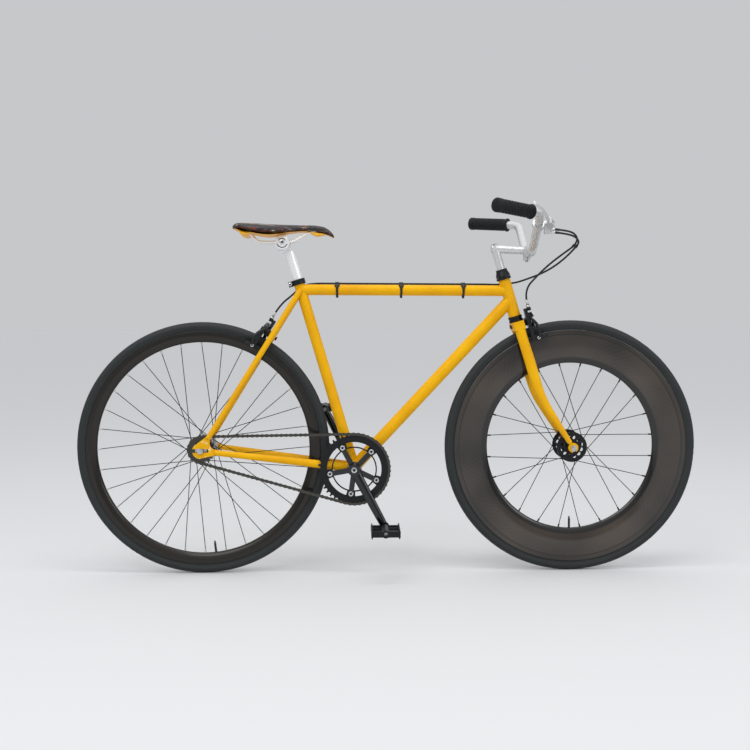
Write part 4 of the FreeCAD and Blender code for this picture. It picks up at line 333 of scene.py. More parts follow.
# %% Dress the CAD nodes
enamel = amber_enamel()
anodised = metal("black_anodised_aluminium", "#1B1C1E", 0.42, 0.06, 0.8, 0.08, metallic=0.55)
gloss_black = metal("gloss_black_lacquer", "#161719", 0.2, 0.04, 2.0, 0.03, metallic=0.2)
crank_black = metal("black_polished_aluminium", "#3E3F40", 0.15, 0.03, 2.0, 0.02, metallic=1.0)
polished = metal("polished_aluminium", "#D2D3D4", 0.34, 0.04, 6.0, 0.01, metallic=0.6)
satin = metal("satin_aluminium", "#EDEEEF", 0.3, 0.05, 1.5, 0.03, metallic=0.35)
plated = metal("zinc_plated_steel", "#A9ABAC", 0.34, 0.08, 1.2, 0.06)
bolt_steel = metal("bright_bolt_steel", "#C9CBCC", 0.25, 0.06, 0.6, 0.04)
chain_steel = metal("oiled_chain_steel", "#54524E", 0.38, 0.1, 1.5, 0.1)
dark_rim = metal("black_anodised_rim", "#34322F", 0.2, 0.05, 2.5, 0.03, metallic=0.75)
carbon = clear_coated_carbon()
amber_plastic = plain("amber_moulded_nylon", "#EBAA14", roughness=0.4)
butyl = plain("butyl_rubber", "#15161A", roughness=0.7)
clip_plastic = plain("black_moulded_nylon", "#141516", roughness=0.45)
FRONT_NIPPLES = 0.2135
REAR_NIPPLES = 0.2735
WEARS = {
    enamel: ("head_tube", "top_tube", "down_tube", "seat_tube", "bottom_bracket_shell", "chain_stays",
             "seat_stays", "track_ends", "brake_bridge", "fork_crown", "fork_blades"),
    anodised: ("seat_collar", "headset_cups", "headset_races", "chainring", "pedal_right", "pedal_left",
               "front_hub", "front_caliper_mount", "rear_caliper_mount"),
    gloss_black: ("front_caliper_stop_arm", "front_caliper_anchor_arm", "rear_caliper_stop_arm",
                  "rear_caliper_anchor_arm"),
    crank_black: ("crank_arm_right", "crank_arm_left"),
    polished: ("stem", "handlebar", "lever_bracket", "brake_lever", "rear_hub"),
    satin: ("seatpost", "saddle_clamp"),
    plated: ("steerer_tube", "stem_bolts", "crank_spindle", "crankset_bolts", "pedal_axles",
             "bottom_bracket_cups"),
    bolt_steel: ("rear_axle", "front_axle"),
    chain_steel: ("chain", "rear_sprocket"),
    dark_rim: ("rear_rim",),
    carbon: ("front_rim",),
    amber_plastic: ("saddle_shell",),
    butyl: ("front_inner_tube", "rear_inner_tube"),
    clip_plastic: ("cable_clips",),
    tyre_rubber("front_tyre_rubber", front_axle): ("front_tyre",),
    tyre_rubber("rear_tyre_rubber", rear_axle): ("rear_tyre",),
    spoke_steel("front_spoke_steel", front_axle, FRONT_NIPPLES, "#1A1B1C"): ("front_spokes",),
    spoke_steel("rear_spoke_steel", rear_axle, REAR_NIPPLES, "#B9BBBC"): ("rear_spokes",),
}


def wear(item, material):
    """Put one material on an object, in place of what it had."""
    item.data.materials.clear()
    item.data.materials.append(material)


for material, names in WEARS.items():
    for name in names:
        nodes[name].material_slots[0].material = material
print("dressed", sum(len(names) for names in WEARS.values()), "nodes in", len(WEARS), "finishes")

# %% [markdown]
# ## Surfaces from two parameters
# Every new rigid piece is a grid of points p(u, v). This helper turns such a grid into a closed
# mesh: columns run round the section, rows run along it, and the two ends are capped.

# %% Grid mesh helper


def grid_mesh(name, points, material, capped=True):
    """Mesh of a (rows, columns, 3) array whose columns close on themselves; the ends get one face each.

    Faces turn outwards: the sum of normal times place, which is six times the volume, is made positive.
    """
    rows, columns, _ = points.shape
    row = np.arange(rows - 1)[:, None] * columns
    column = np.arange(columns)[None, :]
    ahead = (column + 1) % columns
    around = [row + column, row + ahead, row + columns + ahead, row + columns + column]
    quads = np.stack(around, -1).reshape(-1, 4)
    faces = quads.tolist()
    if capped:
        faces.append(np.arange(columns)[::-1].tolist())
        faces.append(((rows - 1) * columns + np.arange(columns)).tolist())
    corners = points.reshape(-1, 3) - points.reshape(-1, 3).mean(0)
    first, second, third = (corners[quads[:, index]] for index in range(3))
    if np.einsum("ij,ij->", np.cross(second - first, third - first), first + third) < 0:
        faces = [face[::-1] for face in faces]
    mesh = bpy.data.meshes.new(name)
    mesh.from_pydata(points.reshape(-1, 3).tolist(), [], faces)
    mesh.update()
    item = bpy.data.objects.new(name, mesh)
    bpy.context.scene.collection.objects.link(item)
    mesh.shade_smooth()
    wear(item, material)
    return item


def cross_axes(along):
    """Two unit vectors square to a direction and to each other."""
    along = np.asarray(along, float)
    hint = np.array([0.0, 0.0, 1.0]) if abs(along[2]) < 0.9 else np.array([1.0, 0.0, 0.0])
    first = np.cross(hint, along)
    first /= np.linalg.norm(first)
    return first, np.cross(along, first)


def turned(name, start, along, profile, material, body, columns=48):
    """Turned piece: p(u, v) = start + s(u) along + r(u) (cos v a + sin v b).

    The profile's rows are (s, r) in millimetres.
    """
    along = np.array(along, float) / np.linalg.norm(along)
    first, second = cross_axes(along)
    rows = np.array(profile, float) * MM
    turn = np.linspace(0, 2 * math.pi, columns, endpoint=False)
    ring = np.cos(turn)[:, None] * first + np.sin(turn)[:, None] * second
    points = np.array(start) + rows[:, :1, None] * along + rows[:, 1:, None] * ring[None]
    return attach(grid_mesh(name, points, material), body)


# %% [markdown]
# ## The padded saddle
# A racing saddle is thin foam under a stretched cover, on a nylon shell. Its plan is a long pear
# and its section a crowned top that rolls over into sides drawn in under the edge. The surface is
# that section carried along the length, with the width, top and underside read from a few stations
# that a smooth curve joins. Tight foam shows no folds, so it needs no cloth simulation. The shell
# is the same section again, from the cover's underside down to a bottom that bulges at both ends.

# %% Saddle surface
SADDLE_STATIONS = np.array([
    # share of the length, share of the half width, then top, underside and shell bottom below the
    # highest point, in pad heights
    (0.000, 0.56, 0.28, 0.63, 0.58),
    (0.012, 0.70, 0.14, 0.69, 0.64),
    (0.035, 0.82, 0.04, 0.70, 0.66),
    (0.060, 0.90, 0.00, 0.68, 0.92),
    (0.090, 0.94, 0.00, 0.74, 1.36),
    (0.120, 0.97, 0.01, 0.82, 1.46),
    (0.150, 0.99, 0.02, 0.91, 1.38),
    (0.180, 1.00, 0.03, 1.00, 1.14),
    (0.250, 0.99, 0.06, 1.14, 1.22),
    (0.350, 0.93, 0.12, 1.22, 1.34),
    (0.450, 0.76, 0.16, 1.17, 1.22),
    (0.550, 0.57, 0.19, 1.04, 1.00),
    (0.650, 0.42, 0.21, 0.94, 0.90),
    (0.740, 0.34, 0.22, 0.90, 0.92),
    (0.780, 0.31, 0.23, 0.90, 1.16),
    (0.820, 0.295, 0.25, 0.92, 1.36),
    (0.860, 0.285, 0.32, 0.99, 1.36),
    (0.905, 0.265, 0.42, 1.12, 1.22),
    (0.950, 0.235, 0.70, 1.32, 1.28),
    (0.980, 0.185, 1.00, 1.46, 1.42),
    (0.994, 0.13, 1.18, 1.52, 1.48),
    (1.000, 0.08, 1.30, 1.50, 1.46),
])
TOP, UNDER, BOTTOM = 1, 2, 3
PAD_HEIGHT = 26 * MM
SADDLE_ROWS = 150
SADDLE_COLUMNS = 96
END_CROWDING = 0.6
WIDEST_SHARE = 0.42
SIDE_POWER, TOP_POWER, UNDER_POWER = 0.8, 0.95, 0.55
DRAWN_IN = 0.14


def smooth_through(places, values, at):
    """Cubic Hermite curve through values: slopes are central differences, so it has no corners."""
    slopes = np.gradient(values, places, axis=0)
    index = np.clip(np.searchsorted(places, at) - 1, 0, len(places) - 2)
    step = (places[index + 1] - places[index])[:, None]
    t = ((at - places[index]) / step[:, 0])[:, None]
    start, end = values[index], values[index + 1]
    rise, fall = slopes[index] * step, slopes[index + 1] * step
    return ((2 * t**3 - 3 * t**2 + 1) * start + (t**3 - 2 * t**2 + t) * rise
            + (3 * t**2 - 2 * t**3) * end + (t**3 - t**2) * fall)


def saddle_surface(upper, lower, width):
    """p(u, v): superellipse section between two station columns, its sides drawn in by 14 percent below."""
    low, high = (np.array(corner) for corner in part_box("saddle_cover"))
    bend = (1 - np.cos(np.linspace(0, math.pi, SADDLE_ROWS))) / 2
    share = END_CROWDING * bend + (1 - END_CROWDING) * np.linspace(0, 1, SADDLE_ROWS)
    stations = smooth_through(SADDLE_STATIONS[:, 0], SADDLE_STATIONS[:, 1:], share)
    half = stations[:, 0] * width * (high[1] - low[1]) / 2
    top = high[2] - stations[:, upper] * PAD_HEIGHT
    under = high[2] - stations[:, lower] * PAD_HEIGHT
    middle = under + WIDEST_SHARE * (top - under)
    turn = np.linspace(0, 2 * math.pi, SADDLE_COLUMNS, endpoint=False)
    c, s = np.cos(turn), np.sin(turn)
    across = np.sign(c) * np.abs(c) ** SIDE_POWER
    upward = np.where(s > 0, np.abs(s) ** TOP_POWER, -np.abs(s) ** UNDER_POWER)
    drawn_in = 1 - DRAWN_IN * np.clip(-s, 0, 1) ** 2
    points = np.empty((SADDLE_ROWS, SADDLE_COLUMNS, 3))
    points[..., 0] = (low[0] + share * (high[0] - low[0]))[:, None]
    points[..., 1] = half[:, None] * across * drawn_in
    reach = np.where(s > 0, (top - middle)[:, None], (middle - under)[:, None])
    points[..., 2] = middle[:, None] + reach * upward
    return points


# %% [markdown]
# ## The cover's material
# The cover is a fine-grained synthetic leather, black, with a faded print of slanting coloured
# streaks. A noise that is stretched along the saddle picks the muted colours from a ramp, and the
# grain is a cell pattern about a millimetre across.

# %% Printed synthetic leather
GRAIN = 1.1
GRAIN_DEPTH = 0.3 * MM
STRIPE = 8.0
STRETCH = 8.0
SLANT = 0.05
STREAKS = ((0.38, "#15171A"), (0.515, "#15171A"), (0.55, "#8C382E"), (0.575, "#16181A"), (0.605, "#2B564C"),
           (0.63, "#17181B"), (0.665, "#C6B998"))


def printed_leather():
    """Black grain with slanting muted streaks that fade in and out."""
    material, tree, shader = finish("printed_synthetic_leather", "#17181B", roughness=0.46)
    place = add(tree, "TexCoord").outputs["Object"]
    slanted = add(tree, "Mapping", {"Vector": place, "Rotation": (0, SLANT, 0), "Scale": (STRETCH, 1.0, 1.0)},
                  vector_type="TEXTURE").outputs[0]
    stripes = add(tree, "TexNoise", {"Vector": slanted, "Scale": per_mm(STRIPE), "Detail": 2.0})
    tone = add(tree, "ValToRGB", {"Fac": stripes.outputs["Fac"]})
    streaks = ((share, paint(code)) for share, code in STREAKS)
    grade(tone.color_ramp, (0.28, paint("#24313A")), (0.80, paint("#8A7F69")), *streaks)
    tree.links.new(tone.outputs["Color"], shader.inputs["Base Color"])
    grain = add(tree, "TexVoronoi", {"Vector": place, "Scale": per_mm(GRAIN)})
    bump = add(tree, "Bump", {"Height": grain.outputs["Distance"], "Strength": 0.18, "Distance": GRAIN_DEPTH})
    tree.links.new(bump.outputs["Normal"], shader.inputs["Normal"])
    return material


SHELL_WIDTH = 0.93
leather = printed_leather()
saddle = grid_mesh("saddle_cover_padded", saddle_surface(TOP, UNDER, 1.0), leather)
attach(saddle, "seat")
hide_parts("saddle_cover")
shell = grid_mesh("saddle_shell_moulded", saddle_surface(UNDER, BOTTOM, SHELL_WIDTH), amber_plastic)
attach(shell, "seat")
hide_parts("saddle_shell")
print("saddle", len(saddle.data.vertices), "points, shell", len(shell.data.vertices))

# %% [markdown]
# ## Smooth rims
# The gloss of a deep rim shows every corner of its section, and a moulded rim has none: the brake
# track runs into the belly and round the inner edge in one curve. Each rim gets a skin that
# carries such a section round the axle. The shares are of the depth, from the inner edge outwards.

# %% Rim skins
RIM_STATIONS = ((0.66, 0.975), (0.45, 0.9), (0.28, 0.76), (0.12, 0.55), (0.04, 0.34),
                (0.008, 0.15), (0.0, 0.0))
RIM_SEAT = 311 * MM
RIM_HALF = 11.5 * MM
TRACK = 12 * MM
TRACK_CLEAR = 0.05
RIM_SIDE_POINTS = 48
RIM_TURNS = 300
RIMS = (("front_rim", front_axle, 89 * MM, carbon), ("rear_rim", rear_axle, 29 * MM, dark_rim))


def rim_points(axle, depth):
    """p(u, v) = axle + r(v) (cos u, 0, sin u) + h(v) (0, 1, 0), with (r, h) smooth through the stations."""
    track = 1 - TRACK / depth
    belly = [pair for pair in RIM_STATIONS if pair[0] < track - TRACK_CLEAR]
    stations = np.array([(1.0, 1.0), (track, 1.0)] + belly)
    places = RIM_SEAT - (1 - stations[:, 0]) * depth
    section = np.c_[places, stations[:, 1] * RIM_HALF]
    length = np.r_[0, np.cumsum(np.linalg.norm(np.diff(section, axis=0), axis=1))]
    side = smooth_through(length, section, np.linspace(0, length[-1], RIM_SIDE_POINTS))
    side[:, 1] = np.minimum(side[:, 1], RIM_HALF)
    loop = np.vstack([side, side[-2::-1] * np.array([1, -1])])
    turn = np.linspace(0, 2 * math.pi, RIM_TURNS + 1)[:, None]
    sideways = np.broadcast_to(loop[:, 1], (len(turn), len(loop)))
    return np.array(axle) + np.stack([np.cos(turn) * loop[:, 0], sideways, np.sin(turn) * loop[:, 0]], -1)


for name, axle, depth, material in RIMS:
    skin = grid_mesh(name + "_skin", rim_points(axle, depth), material, capped=False)
    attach(skin, name.replace("rim", "wheel"))
    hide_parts(name)
    print(skin.name, len(skin.data.polygons), "faces")

# %% [markdown]
# ## The ribbed grips
# Each grip is a moulded rubber sleeve with raised diamonds between crossing grooves, a flange on
# the side of the thumb and a thicker rounded end. The diamonds are the product of two waves that
# wind round the sleeve in opposite directions, so they stay even all the way round.

# %% Grips
BAR_BEND = np.array([379.54, 185.0, 938.27]) * MM
BAR_END = np.array([255.54, 282.0, 951.27]) * MM
GRIP_LENGTH = 127 * MM
GRIP_CAP = 3 * MM
GRIP_RADIUS = 15.6 * MM
GRIP_ROWS = 340
GRIP_COLUMNS = 168
DIAMOND_RISE = 1.5 * MM
DIAMONDS_ROUND = 12
DIAMONDS_LONG = 12
GROOVE_SLOPE = 2.2
RIBS_FROM, RIBS_TO = 0.13, 0.93
RIB_STEP = 40
END_STEP = 60
END_SWELL = 2.1 * MM
FLANGE_SWELL = 3.2 * MM
FLANGE_PLACE, FLANGE_HALF = 0.975, 0.016
DOME_SHARE = 0.035
DOME_START = 0.25
grip_rubber = plain("moulded_grip_rubber", "#090D0E", roughness=0.6, Specular_IOR_Level=0.3)


def grip_points(side):
    """p(u, v): radius = body + rise * clipped |sin(a v + b u) sin(a v - b u)|, with flange and domed end."""
    mirror = np.array([1, side, 1])
    end = BAR_END * mirror
    along = (BAR_BEND - BAR_END) * mirror
    along /= np.linalg.norm(along)
    first, second = cross_axes(along)
    place = np.linspace(0, 1, GRIP_ROWS)
    distance = place * GRIP_LENGTH - GRIP_CAP
    turn = np.linspace(0, 2 * math.pi, GRIP_COLUMNS, endpoint=False)
    wind = DIAMONDS_LONG * math.pi * place[:, None]
    wave = np.sin(DIAMONDS_ROUND / 2 * turn + wind) * np.sin(DIAMONDS_ROUND / 2 * turn - wind)
    ribs = np.clip(np.abs(wave) * GROOVE_SLOPE, 0, 1)
    ribbed = np.clip((place - RIBS_FROM) * RIB_STEP, 0, 1) * np.clip((RIBS_TO - place) * RIB_STEP, 0, 1)
    dome = np.sqrt(np.clip(1 - (1 - np.clip(place / DOME_SHARE, 0, 1)) ** 2, 0, 1))
    flange = np.exp(-(((place - FLANGE_PLACE) / FLANGE_HALF) ** 4))
    swell = END_SWELL * np.clip((RIBS_FROM - place) * END_STEP, 0, 1) + FLANGE_SWELL * flange
    sleeve = (GRIP_RADIUS + swell) * (DOME_START + (1 - DOME_START) * dome)
    radius = sleeve[:, None] + ribbed[:, None] * DIAMOND_RISE * ribs
    ring = np.cos(turn)[:, None] * first + np.sin(turn)[:, None] * second
    return end + distance[:, None, None] * along + radius[..., None] * ring


GRIPS = (("grip_right", -1), ("grip_left", 1))
grips = [grid_mesh(name, grip_points(side), grip_rubber) for name, side in GRIPS]
for grip in grips:
    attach(grip, "steering")
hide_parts("grips")
print("grips", sum(len(grip.data.polygons) for grip in grips), "faces")

# %% [markdown]
# ## Brake cables
# Each housing is a stiff coiled steel liner under black plastic, five millimetres thick. It leaves the lever
# straight ahead, falls in one springy curve and ends in a ferrule. A NURBS spline with the route's points as
# control points gives that curve. The stretch that bends as the bar turns is a mesh tube along the same kind
# of spline.

# %% Cable routes
CABLE = 5 * MM
LEVER_PIVOT = np.array(joints["brake_lever_pull"]["pos_m"])
lever_clamp = LEVER_PIVOT - np.array([21, -43, 6]) * MM
upper_barrel = lever_clamp + np.array([39, -14, -12.15]) * MM
lower_barrel = lever_clamp + np.array([39, -14, -19.85]) * MM


def caliper_axes(joint, across):
    """Origin and (across, up, out) directions of a caliper, from the pivot of its stop arm."""
    out = np.array(joints[joint]["axis"], float)
    across = np.array(across, float)
    return np.array(joints[joint]["pos_m"]), across, np.cross(out, across), out


def caliper_point(axes, a, h, n):
    """Point at (across, up, out) millimetres from a caliper's origin."""
    origin, across, up, out = axes
    return origin + (a * across + h * up + n * out) * MM


front_caliper = caliper_axes("front_stop_arm_pivot", (0, 1, 0))
rear_caliper = caliper_axes("rear_stop_arm_pivot", (0, -1, 0))
STOP_ACROSS = -27
BARREL_TOP = 46
BARREL_GAP = 0.4
WIRE_OUT = 18.5
FRONT_DROP = 38
REAR_DROP = 36
UPPER_BOW = np.array([(0.9, 0, 0), (29.5, 9, -2), (53.5, 21, -8), (65.5, 36, -22), (60, 51, -38)]) * MM
LOWER_BOW = np.array([(0.9, 0, 0), (30.5, 9, -2.5), (57, 23, -9), (71, 41, -22), (62, 55, -36)]) * MM
FRONT_RUN = np.array([(0.2, 0, 5), (0.45, 4, 9), (0.68, 7, 8)])
REAR_RUN = np.array([(0.107, 6, -12), (0.262, 14, -22), (0.446, 19, -24), (0.619, 23, -20), (0.762, 25, -16),
                     (0.881, 17.1, -8.5)])


def falling(start, end, run):
    """Points at shares of the way from start to end, set off to the left and up by millimetres."""
    aside = np.c_[np.zeros(len(run)), run[:, 1:]] * MM
    return start + (end - start) * run[:, :1] + aside


front_drop = caliper_point(front_caliper, STOP_ACROSS, BARREL_TOP + FRONT_DROP, WIRE_OUT)
front_stop = caliper_point(front_caliper, STOP_ACROSS, BARREL_TOP + BARREL_GAP, WIRE_OUT)
upper_bow = upper_barrel + UPPER_BOW
front_route = np.vstack([upper_bow, falling(upper_bow[-1], front_drop, FRONT_RUN), front_drop, front_stop])

TUBE_REAR = np.array([-226.93, 0, 756.14]) * MM
TUBE_FRONT = np.array([322.01, 0, 750.9]) * MM
join = TUBE_FRONT + np.array([-10, 22.5, 18.1]) * MM
lower_bow = lower_barrel + LOWER_BOW
loop_route = np.vstack([lower_bow, falling(lower_bow[-1], join, REAR_RUN), join + np.array([0.2, 0, 0]) * MM])

TOP_TUBE_RADIUS = 14.3 * MM
HOUSING_GAP = 0.4 * MM
HOUSING_SIDE = math.radians(8)
HOUSING_OFF = TOP_TUBE_RADIUS + CABLE / 2 + HOUSING_GAP
HOUSING_SHARES = np.array([0.9016, 0.85, 0.13, 0.0747])
lift = np.array([0, math.sin(HOUSING_SIDE), math.cos(HOUSING_SIDE)]) * HOUSING_OFF
along_tube = TUBE_REAR + (TUBE_FRONT - TUBE_REAR) * HOUSING_SHARES[:, None] + lift
rear_route = np.vstack([
    join, join + np.array([-19, -2, -1.4]) * MM, along_tube, TUBE_REAR + np.array([4.9, 23, 13]) * MM,
    TUBE_REAR + np.array([-25, 28, -14.1]) * MM,
    caliper_point(rear_caliper, STOP_ACROSS, BARREL_TOP + REAR_DROP, WIRE_OUT),
    caliper_point(rear_caliper, STOP_ACROSS, BARREL_TOP + BARREL_GAP, WIRE_OUT)])
print("route points", len(front_route), len(loop_route), len(rear_route))

# %% [markdown]
# ## From route to cable
# Two of the housings keep their shape, so they stay curves with a round bevel. The loop is a mesh. Its tube
# needs the spline's own centreline, which is read back from the evaluated curve.

# %% Cable curves
housing = plain("black_cable_housing", "#0E0F10", roughness=0.6)


def spline_object(name, points, depth):
    """Curve of one open NURBS spline with these control points."""
    curve = bpy.data.curves.new(name, "CURVE")
    curve.dimensions = "3D"
    curve.bevel_depth = depth
    curve.bevel_resolution = 5
    curve.resolution_u = 16
    curve.use_fill_caps = depth > 0
    spline = curve.splines.new("NURBS")
    spline.points.add(len(points) - 1)
    spline.points.foreach_set("co", np.c_[points, np.ones(len(points))].ravel())
    spline.order_u = 3
    spline.use_endpoint_u = True
    item = bpy.data.objects.new(name, curve)
    bpy.context.scene.collection.objects.link(item)
    return item


def centreline(points):
    """Points read from the spline itself, with no bevel."""
    guide = spline_object("cable_guide", points, 0.0)
    bpy.context.view_layer.update()
    mesh = bpy.data.meshes.new_from_object(guide.evaluated_get(bpy.context.evaluated_depsgraph_get()))
    line = np.empty(len(mesh.vertices) * 3)
    mesh.vertices.foreach_get("co", line)
    bpy.data.objects.remove(guide)
    bpy.data.meshes.remove(mesh)
    return line.reshape(-1, 3)


def run_length(line):
    """Sum of the distances from each point of a line to the next."""
    return float(np.linalg.norm(np.diff(line, axis=0), axis=1).sum())


def tube_points(line, radius, columns=20):
    """p(u, v): a circle carried along a line; one fixed direction, made square to it, sets its turn."""
    tangent = np.gradient(line, axis=0)
    tangent /= np.linalg.norm(tangent, axis=1)[:, None]
    reference = np.array([0.2, 0.5, 0.84])
    first = reference - (tangent @ reference)[:, None] * tangent
    first /= np.linalg.norm(first, axis=1)[:, None]
    second = np.cross(tangent, first)
    turn = np.linspace(0, 2 * math.pi, columns, endpoint=False)
    ring = np.cos(turn)[None, :, None] * first[:, None] + np.sin(turn)[None, :, None] * second[:, None]
    return line[:, None] + radius * ring


front_cable = spline_object("front_brake_housing", front_route, CABLE / 2)
rear_cable = spline_object("rear_brake_housing", rear_route, CABLE / 2)
for cable, points, body, node in ((front_cable, front_route, "steering", "front_brake_cable"),
                                  (rear_cable, rear_route, "frame", "rear_brake_cable")):
    wear(cable, housing)
    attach(cable, body)
    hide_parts(node)
    run_length(centreline(points))
loop_line = centreline(loop_route)
loop_cable = grid_mesh("rear_brake_housing_loop", tube_points(loop_line, CABLE / 2), housing)
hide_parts("rear_brake_cable_loop")
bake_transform(loop_cable)
lengths = [round(run_length(centreline(points)), 3) for points in (front_route, loop_route, rear_route)]
print("cables", lengths, "m")

# %% [markdown]
# ## The brake lever's blade
# A lever is forged in one piece: a round eye on the pivot pin, then a flat blade that bows away from
# the bar and comes back towards it at the rounded tip. The blade is an oval carried along that bow,
# and the eye is a turned disc.

# %% Brake lever
LEVER_REACH = np.array([-46, -72, 39]) * MM
BLADE_BOW = np.array([(4, 0.0), (16, -0.4), (34, -2.4), (52, -3.4), (70, -2.4), (84, 0.4), (94, 4.0),
                      (97, 5.6)])
BLADE_HALF = np.array([(4, 4.3, 4.0), (14, 4.5, 3.9), (30, 6.0, 3.2), (60, 5.8, 2.8), (86, 5.4, 2.8),
                       (97, 5.2, 2.8)])
BLADE_ROWS = 80
BLADE_COLUMNS = 40
TIP_LENGTH = 6
END_CLOSE = 0.97
EYE_HALF = 4.5
EYE_EDGE = 0.6
EYE = ((-EYE_HALF, 5.9), (EYE_EDGE - EYE_HALF, 6.5), (EYE_HALF - EYE_EDGE, 6.5), (EYE_HALF, 5.9))
lever_axis = np.array(joints["brake_lever_pull"]["axis"], float)
blade_along = LEVER_REACH / np.linalg.norm(LEVER_REACH)
blade_squeeze = np.cross(lever_axis, blade_along)


def blade_points():
    """p(u, v) = pivot + s along + b(s) squeeze + oval(w(s), t(s)), its tip closed by (1 - u^2)^(1/2)."""
    root, tip = BLADE_BOW[0, 0], BLADE_BOW[-1, 0]
    place = np.linspace(root, tip, BLADE_ROWS)
    bow = smooth_through(BLADE_BOW[:, 0], BLADE_BOW[:, 1:], place)
    half = smooth_through(BLADE_HALF[:, 0], BLADE_HALF[:, 1:], place)
    dome = np.sqrt(1 - END_CLOSE * np.clip((place - tip + TIP_LENGTH) / TIP_LENGTH, 0, 1) ** 2)[:, None]
    turn = np.linspace(0, 2 * math.pi, BLADE_COLUMNS, endpoint=False)
    centre = place[:, None] * blade_along + bow * blade_squeeze
    across = (dome * half[:, :1] * np.cos(turn))[..., None] * lever_axis
    through = (dome * half[:, 1:] * np.sin(turn))[..., None] * blade_squeeze
    return LEVER_PIVOT + (centre[:, None] + across + through) * MM


blade = grid_mesh("brake_lever_blade", blade_points(), polished)
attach(blade, "lever")
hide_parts("brake_lever")
eye = turned("brake_lever_eye", LEVER_PIVOT, lever_axis, EYE, polished, "lever")
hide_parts("brake_lever")
print("blade", round(float(np.linalg.norm(LEVER_REACH)) / MM), "mm from pivot to tip")

# %% [markdown]
# ## Clip wedges
# Each clip holds the housing with a wedge that lies on the tube: wide over the top, narrow down the
# side. It is a strip p(u, v) round the tube whose half width shrinks with the angle.

# %% Clip wedges
CLIP_SHARES = (0.175, 0.4845, 0.785)
CLIP_INNER, CLIP_OUTER = 14.5, 17.1
CLIP_NARROW = 2.3
CLIP_FLARE = 4.4
FLARE_FROM, FLARE_OVER, FLARE_POWER = 4, 46, 1.2
clip_turn = np.linspace(100, -8, 28)
clip_half = CLIP_NARROW + CLIP_FLARE * np.clip((clip_turn - FLARE_FROM) / FLARE_OVER, 0, 1) ** FLARE_POWER
tube_along = (TUBE_FRONT - TUBE_REAR) / np.linalg.norm(TUBE_FRONT - TUBE_REAR)
tube_up = np.cross((0, -1, 0), tube_along)
clip_way = (np.cos(np.radians(clip_turn))[:, None] * np.array([0, -1, 0])
            + np.sin(np.radians(clip_turn))[:, None] * tube_up)
strip = np.stack([side * clip_half[:, None] * tube_along + radius * clip_way for side, radius in
                  ((-1, CLIP_INNER), (1, CLIP_INNER), (1, CLIP_OUTER), (-1, CLIP_OUTER))], 1) * MM
for index, share in enumerate(CLIP_SHARES):
    centre = TUBE_REAR + (TUBE_FRONT - TUBE_REAR) * share
    wedge = grid_mesh(f"clip_wedge_{index}", centre + strip, clip_plastic)
    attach(wedge, "frame")
print("clip wedges", len(CLIP_SHARES))

# %% [markdown]
# ## Ferrules and inner wires
# A ferrule is the pressed cap on the end of a housing, and below each barrel the bare inner wire
# runs to the anchor bolt. They are small turned pieces, drawn as profiles of distance and radius.

# %% Ferrules and wires
FERRULE = ((0, 2.6), (0, 3.1), (9, 3.1), (10, 2.9), (12, 2.9), (12, 2.6))
INNER_WIRE = ((0, 0.6), (6, 0.6))
WIRE_UP = 21
for name, points in (("lever_ferrule_upper", front_route), ("lever_ferrule_lower", loop_route)):
    turned(name, points[0], points[1] - points[0], FERRULE, clip_plastic, "steering")
for name, points, body in (("front_stop_ferrule", front_route, "steering"),
                           ("rear_stop_ferrule", rear_route, "frame")):
    turned(name, points[-1], points[-2] - points[-1], FERRULE, polished, body)
for name, axes, body in (("front_inner_wire", front_caliper, "front_anchor_arm"),
                         ("rear_inner_wire", rear_caliper, "rear_anchor_arm")):
    start = caliper_point(axes, STOP_ACROSS, WIRE_UP, WIRE_OUT)
    wire = turned(name, start, axes[2], INNER_WIRE, plated, body, 12)
    print(wire.name, "starts at", start.round(3))

# %% [markdown]
# ## Brake blocks
# A brake block is a bar of soft rubber in a holder, lying along the rim. It is a rounded bar: a
# superellipse section that is carried along the rim and closes at both ends.

# %% Brake blocks
block_rubber = plain("brake_block_rubber", "#1D1E20", roughness=0.75)
BLOCK_LENGTH = 51
BLOCK_HALF = (4.45, 4.8)
BLOCK_OUT = 22
BLOCK_DOWN = 45.7
BLOCK_ACROSS = 17.75
BLOCK_ROWS = 40
BLOCK_COLUMNS = 32
CORNER_POWER = 0.35
END_POWER = 14


def block_points(axes, side, axle):
    """p(u, v): section (cos v, sin v) to the power 0.35 along the rim, rounded by (1 - u^14)^(1/2)."""
    centre = caliper_point(axes, side * BLOCK_ACROSS, -BLOCK_DOWN, BLOCK_OUT)
    radial = centre - np.array(axle)
    radial[1] = 0
    radial /= np.linalg.norm(radial)
    along = np.cross(radial, (0, 1, 0))
    place = np.sin(np.linspace(-math.pi / 2, math.pi / 2, BLOCK_ROWS))
    turn = np.linspace(0, 2 * math.pi, BLOCK_COLUMNS, endpoint=False)
    c, s = np.cos(turn), np.sin(turn)
    size = np.sqrt(np.clip(1 - END_CLOSE * np.abs(place) ** END_POWER, 0, 1))[:, None, None]
    across = (np.sign(c) * np.abs(c) ** CORNER_POWER * BLOCK_HALF[0])[:, None] * np.array([0, 1.0, 0])
    upward = (np.sign(s) * np.abs(s) ** CORNER_POWER * BLOCK_HALF[1])[:, None] * radial
    return centre + (place[:, None, None] * BLOCK_LENGTH / 2 * along + size * (across + upward)[None]) * MM


for name, axes, side, axle, body in (
        ("front_block_right", front_caliper, -1, front_axle, "front_stop_arm"),
        ("front_block_left", front_caliper, 1, front_axle, "front_anchor_arm"),
        ("rear_block_left", rear_caliper, -1, rear_axle, "rear_stop_arm"),
        ("rear_block_right", rear_caliper, 1, rear_axle, "rear_anchor_arm")):
    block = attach(grid_mesh(name, block_points(axes, side, axle), block_rubber), body)
    print(block.name, len(block.data.polygons), "faces")

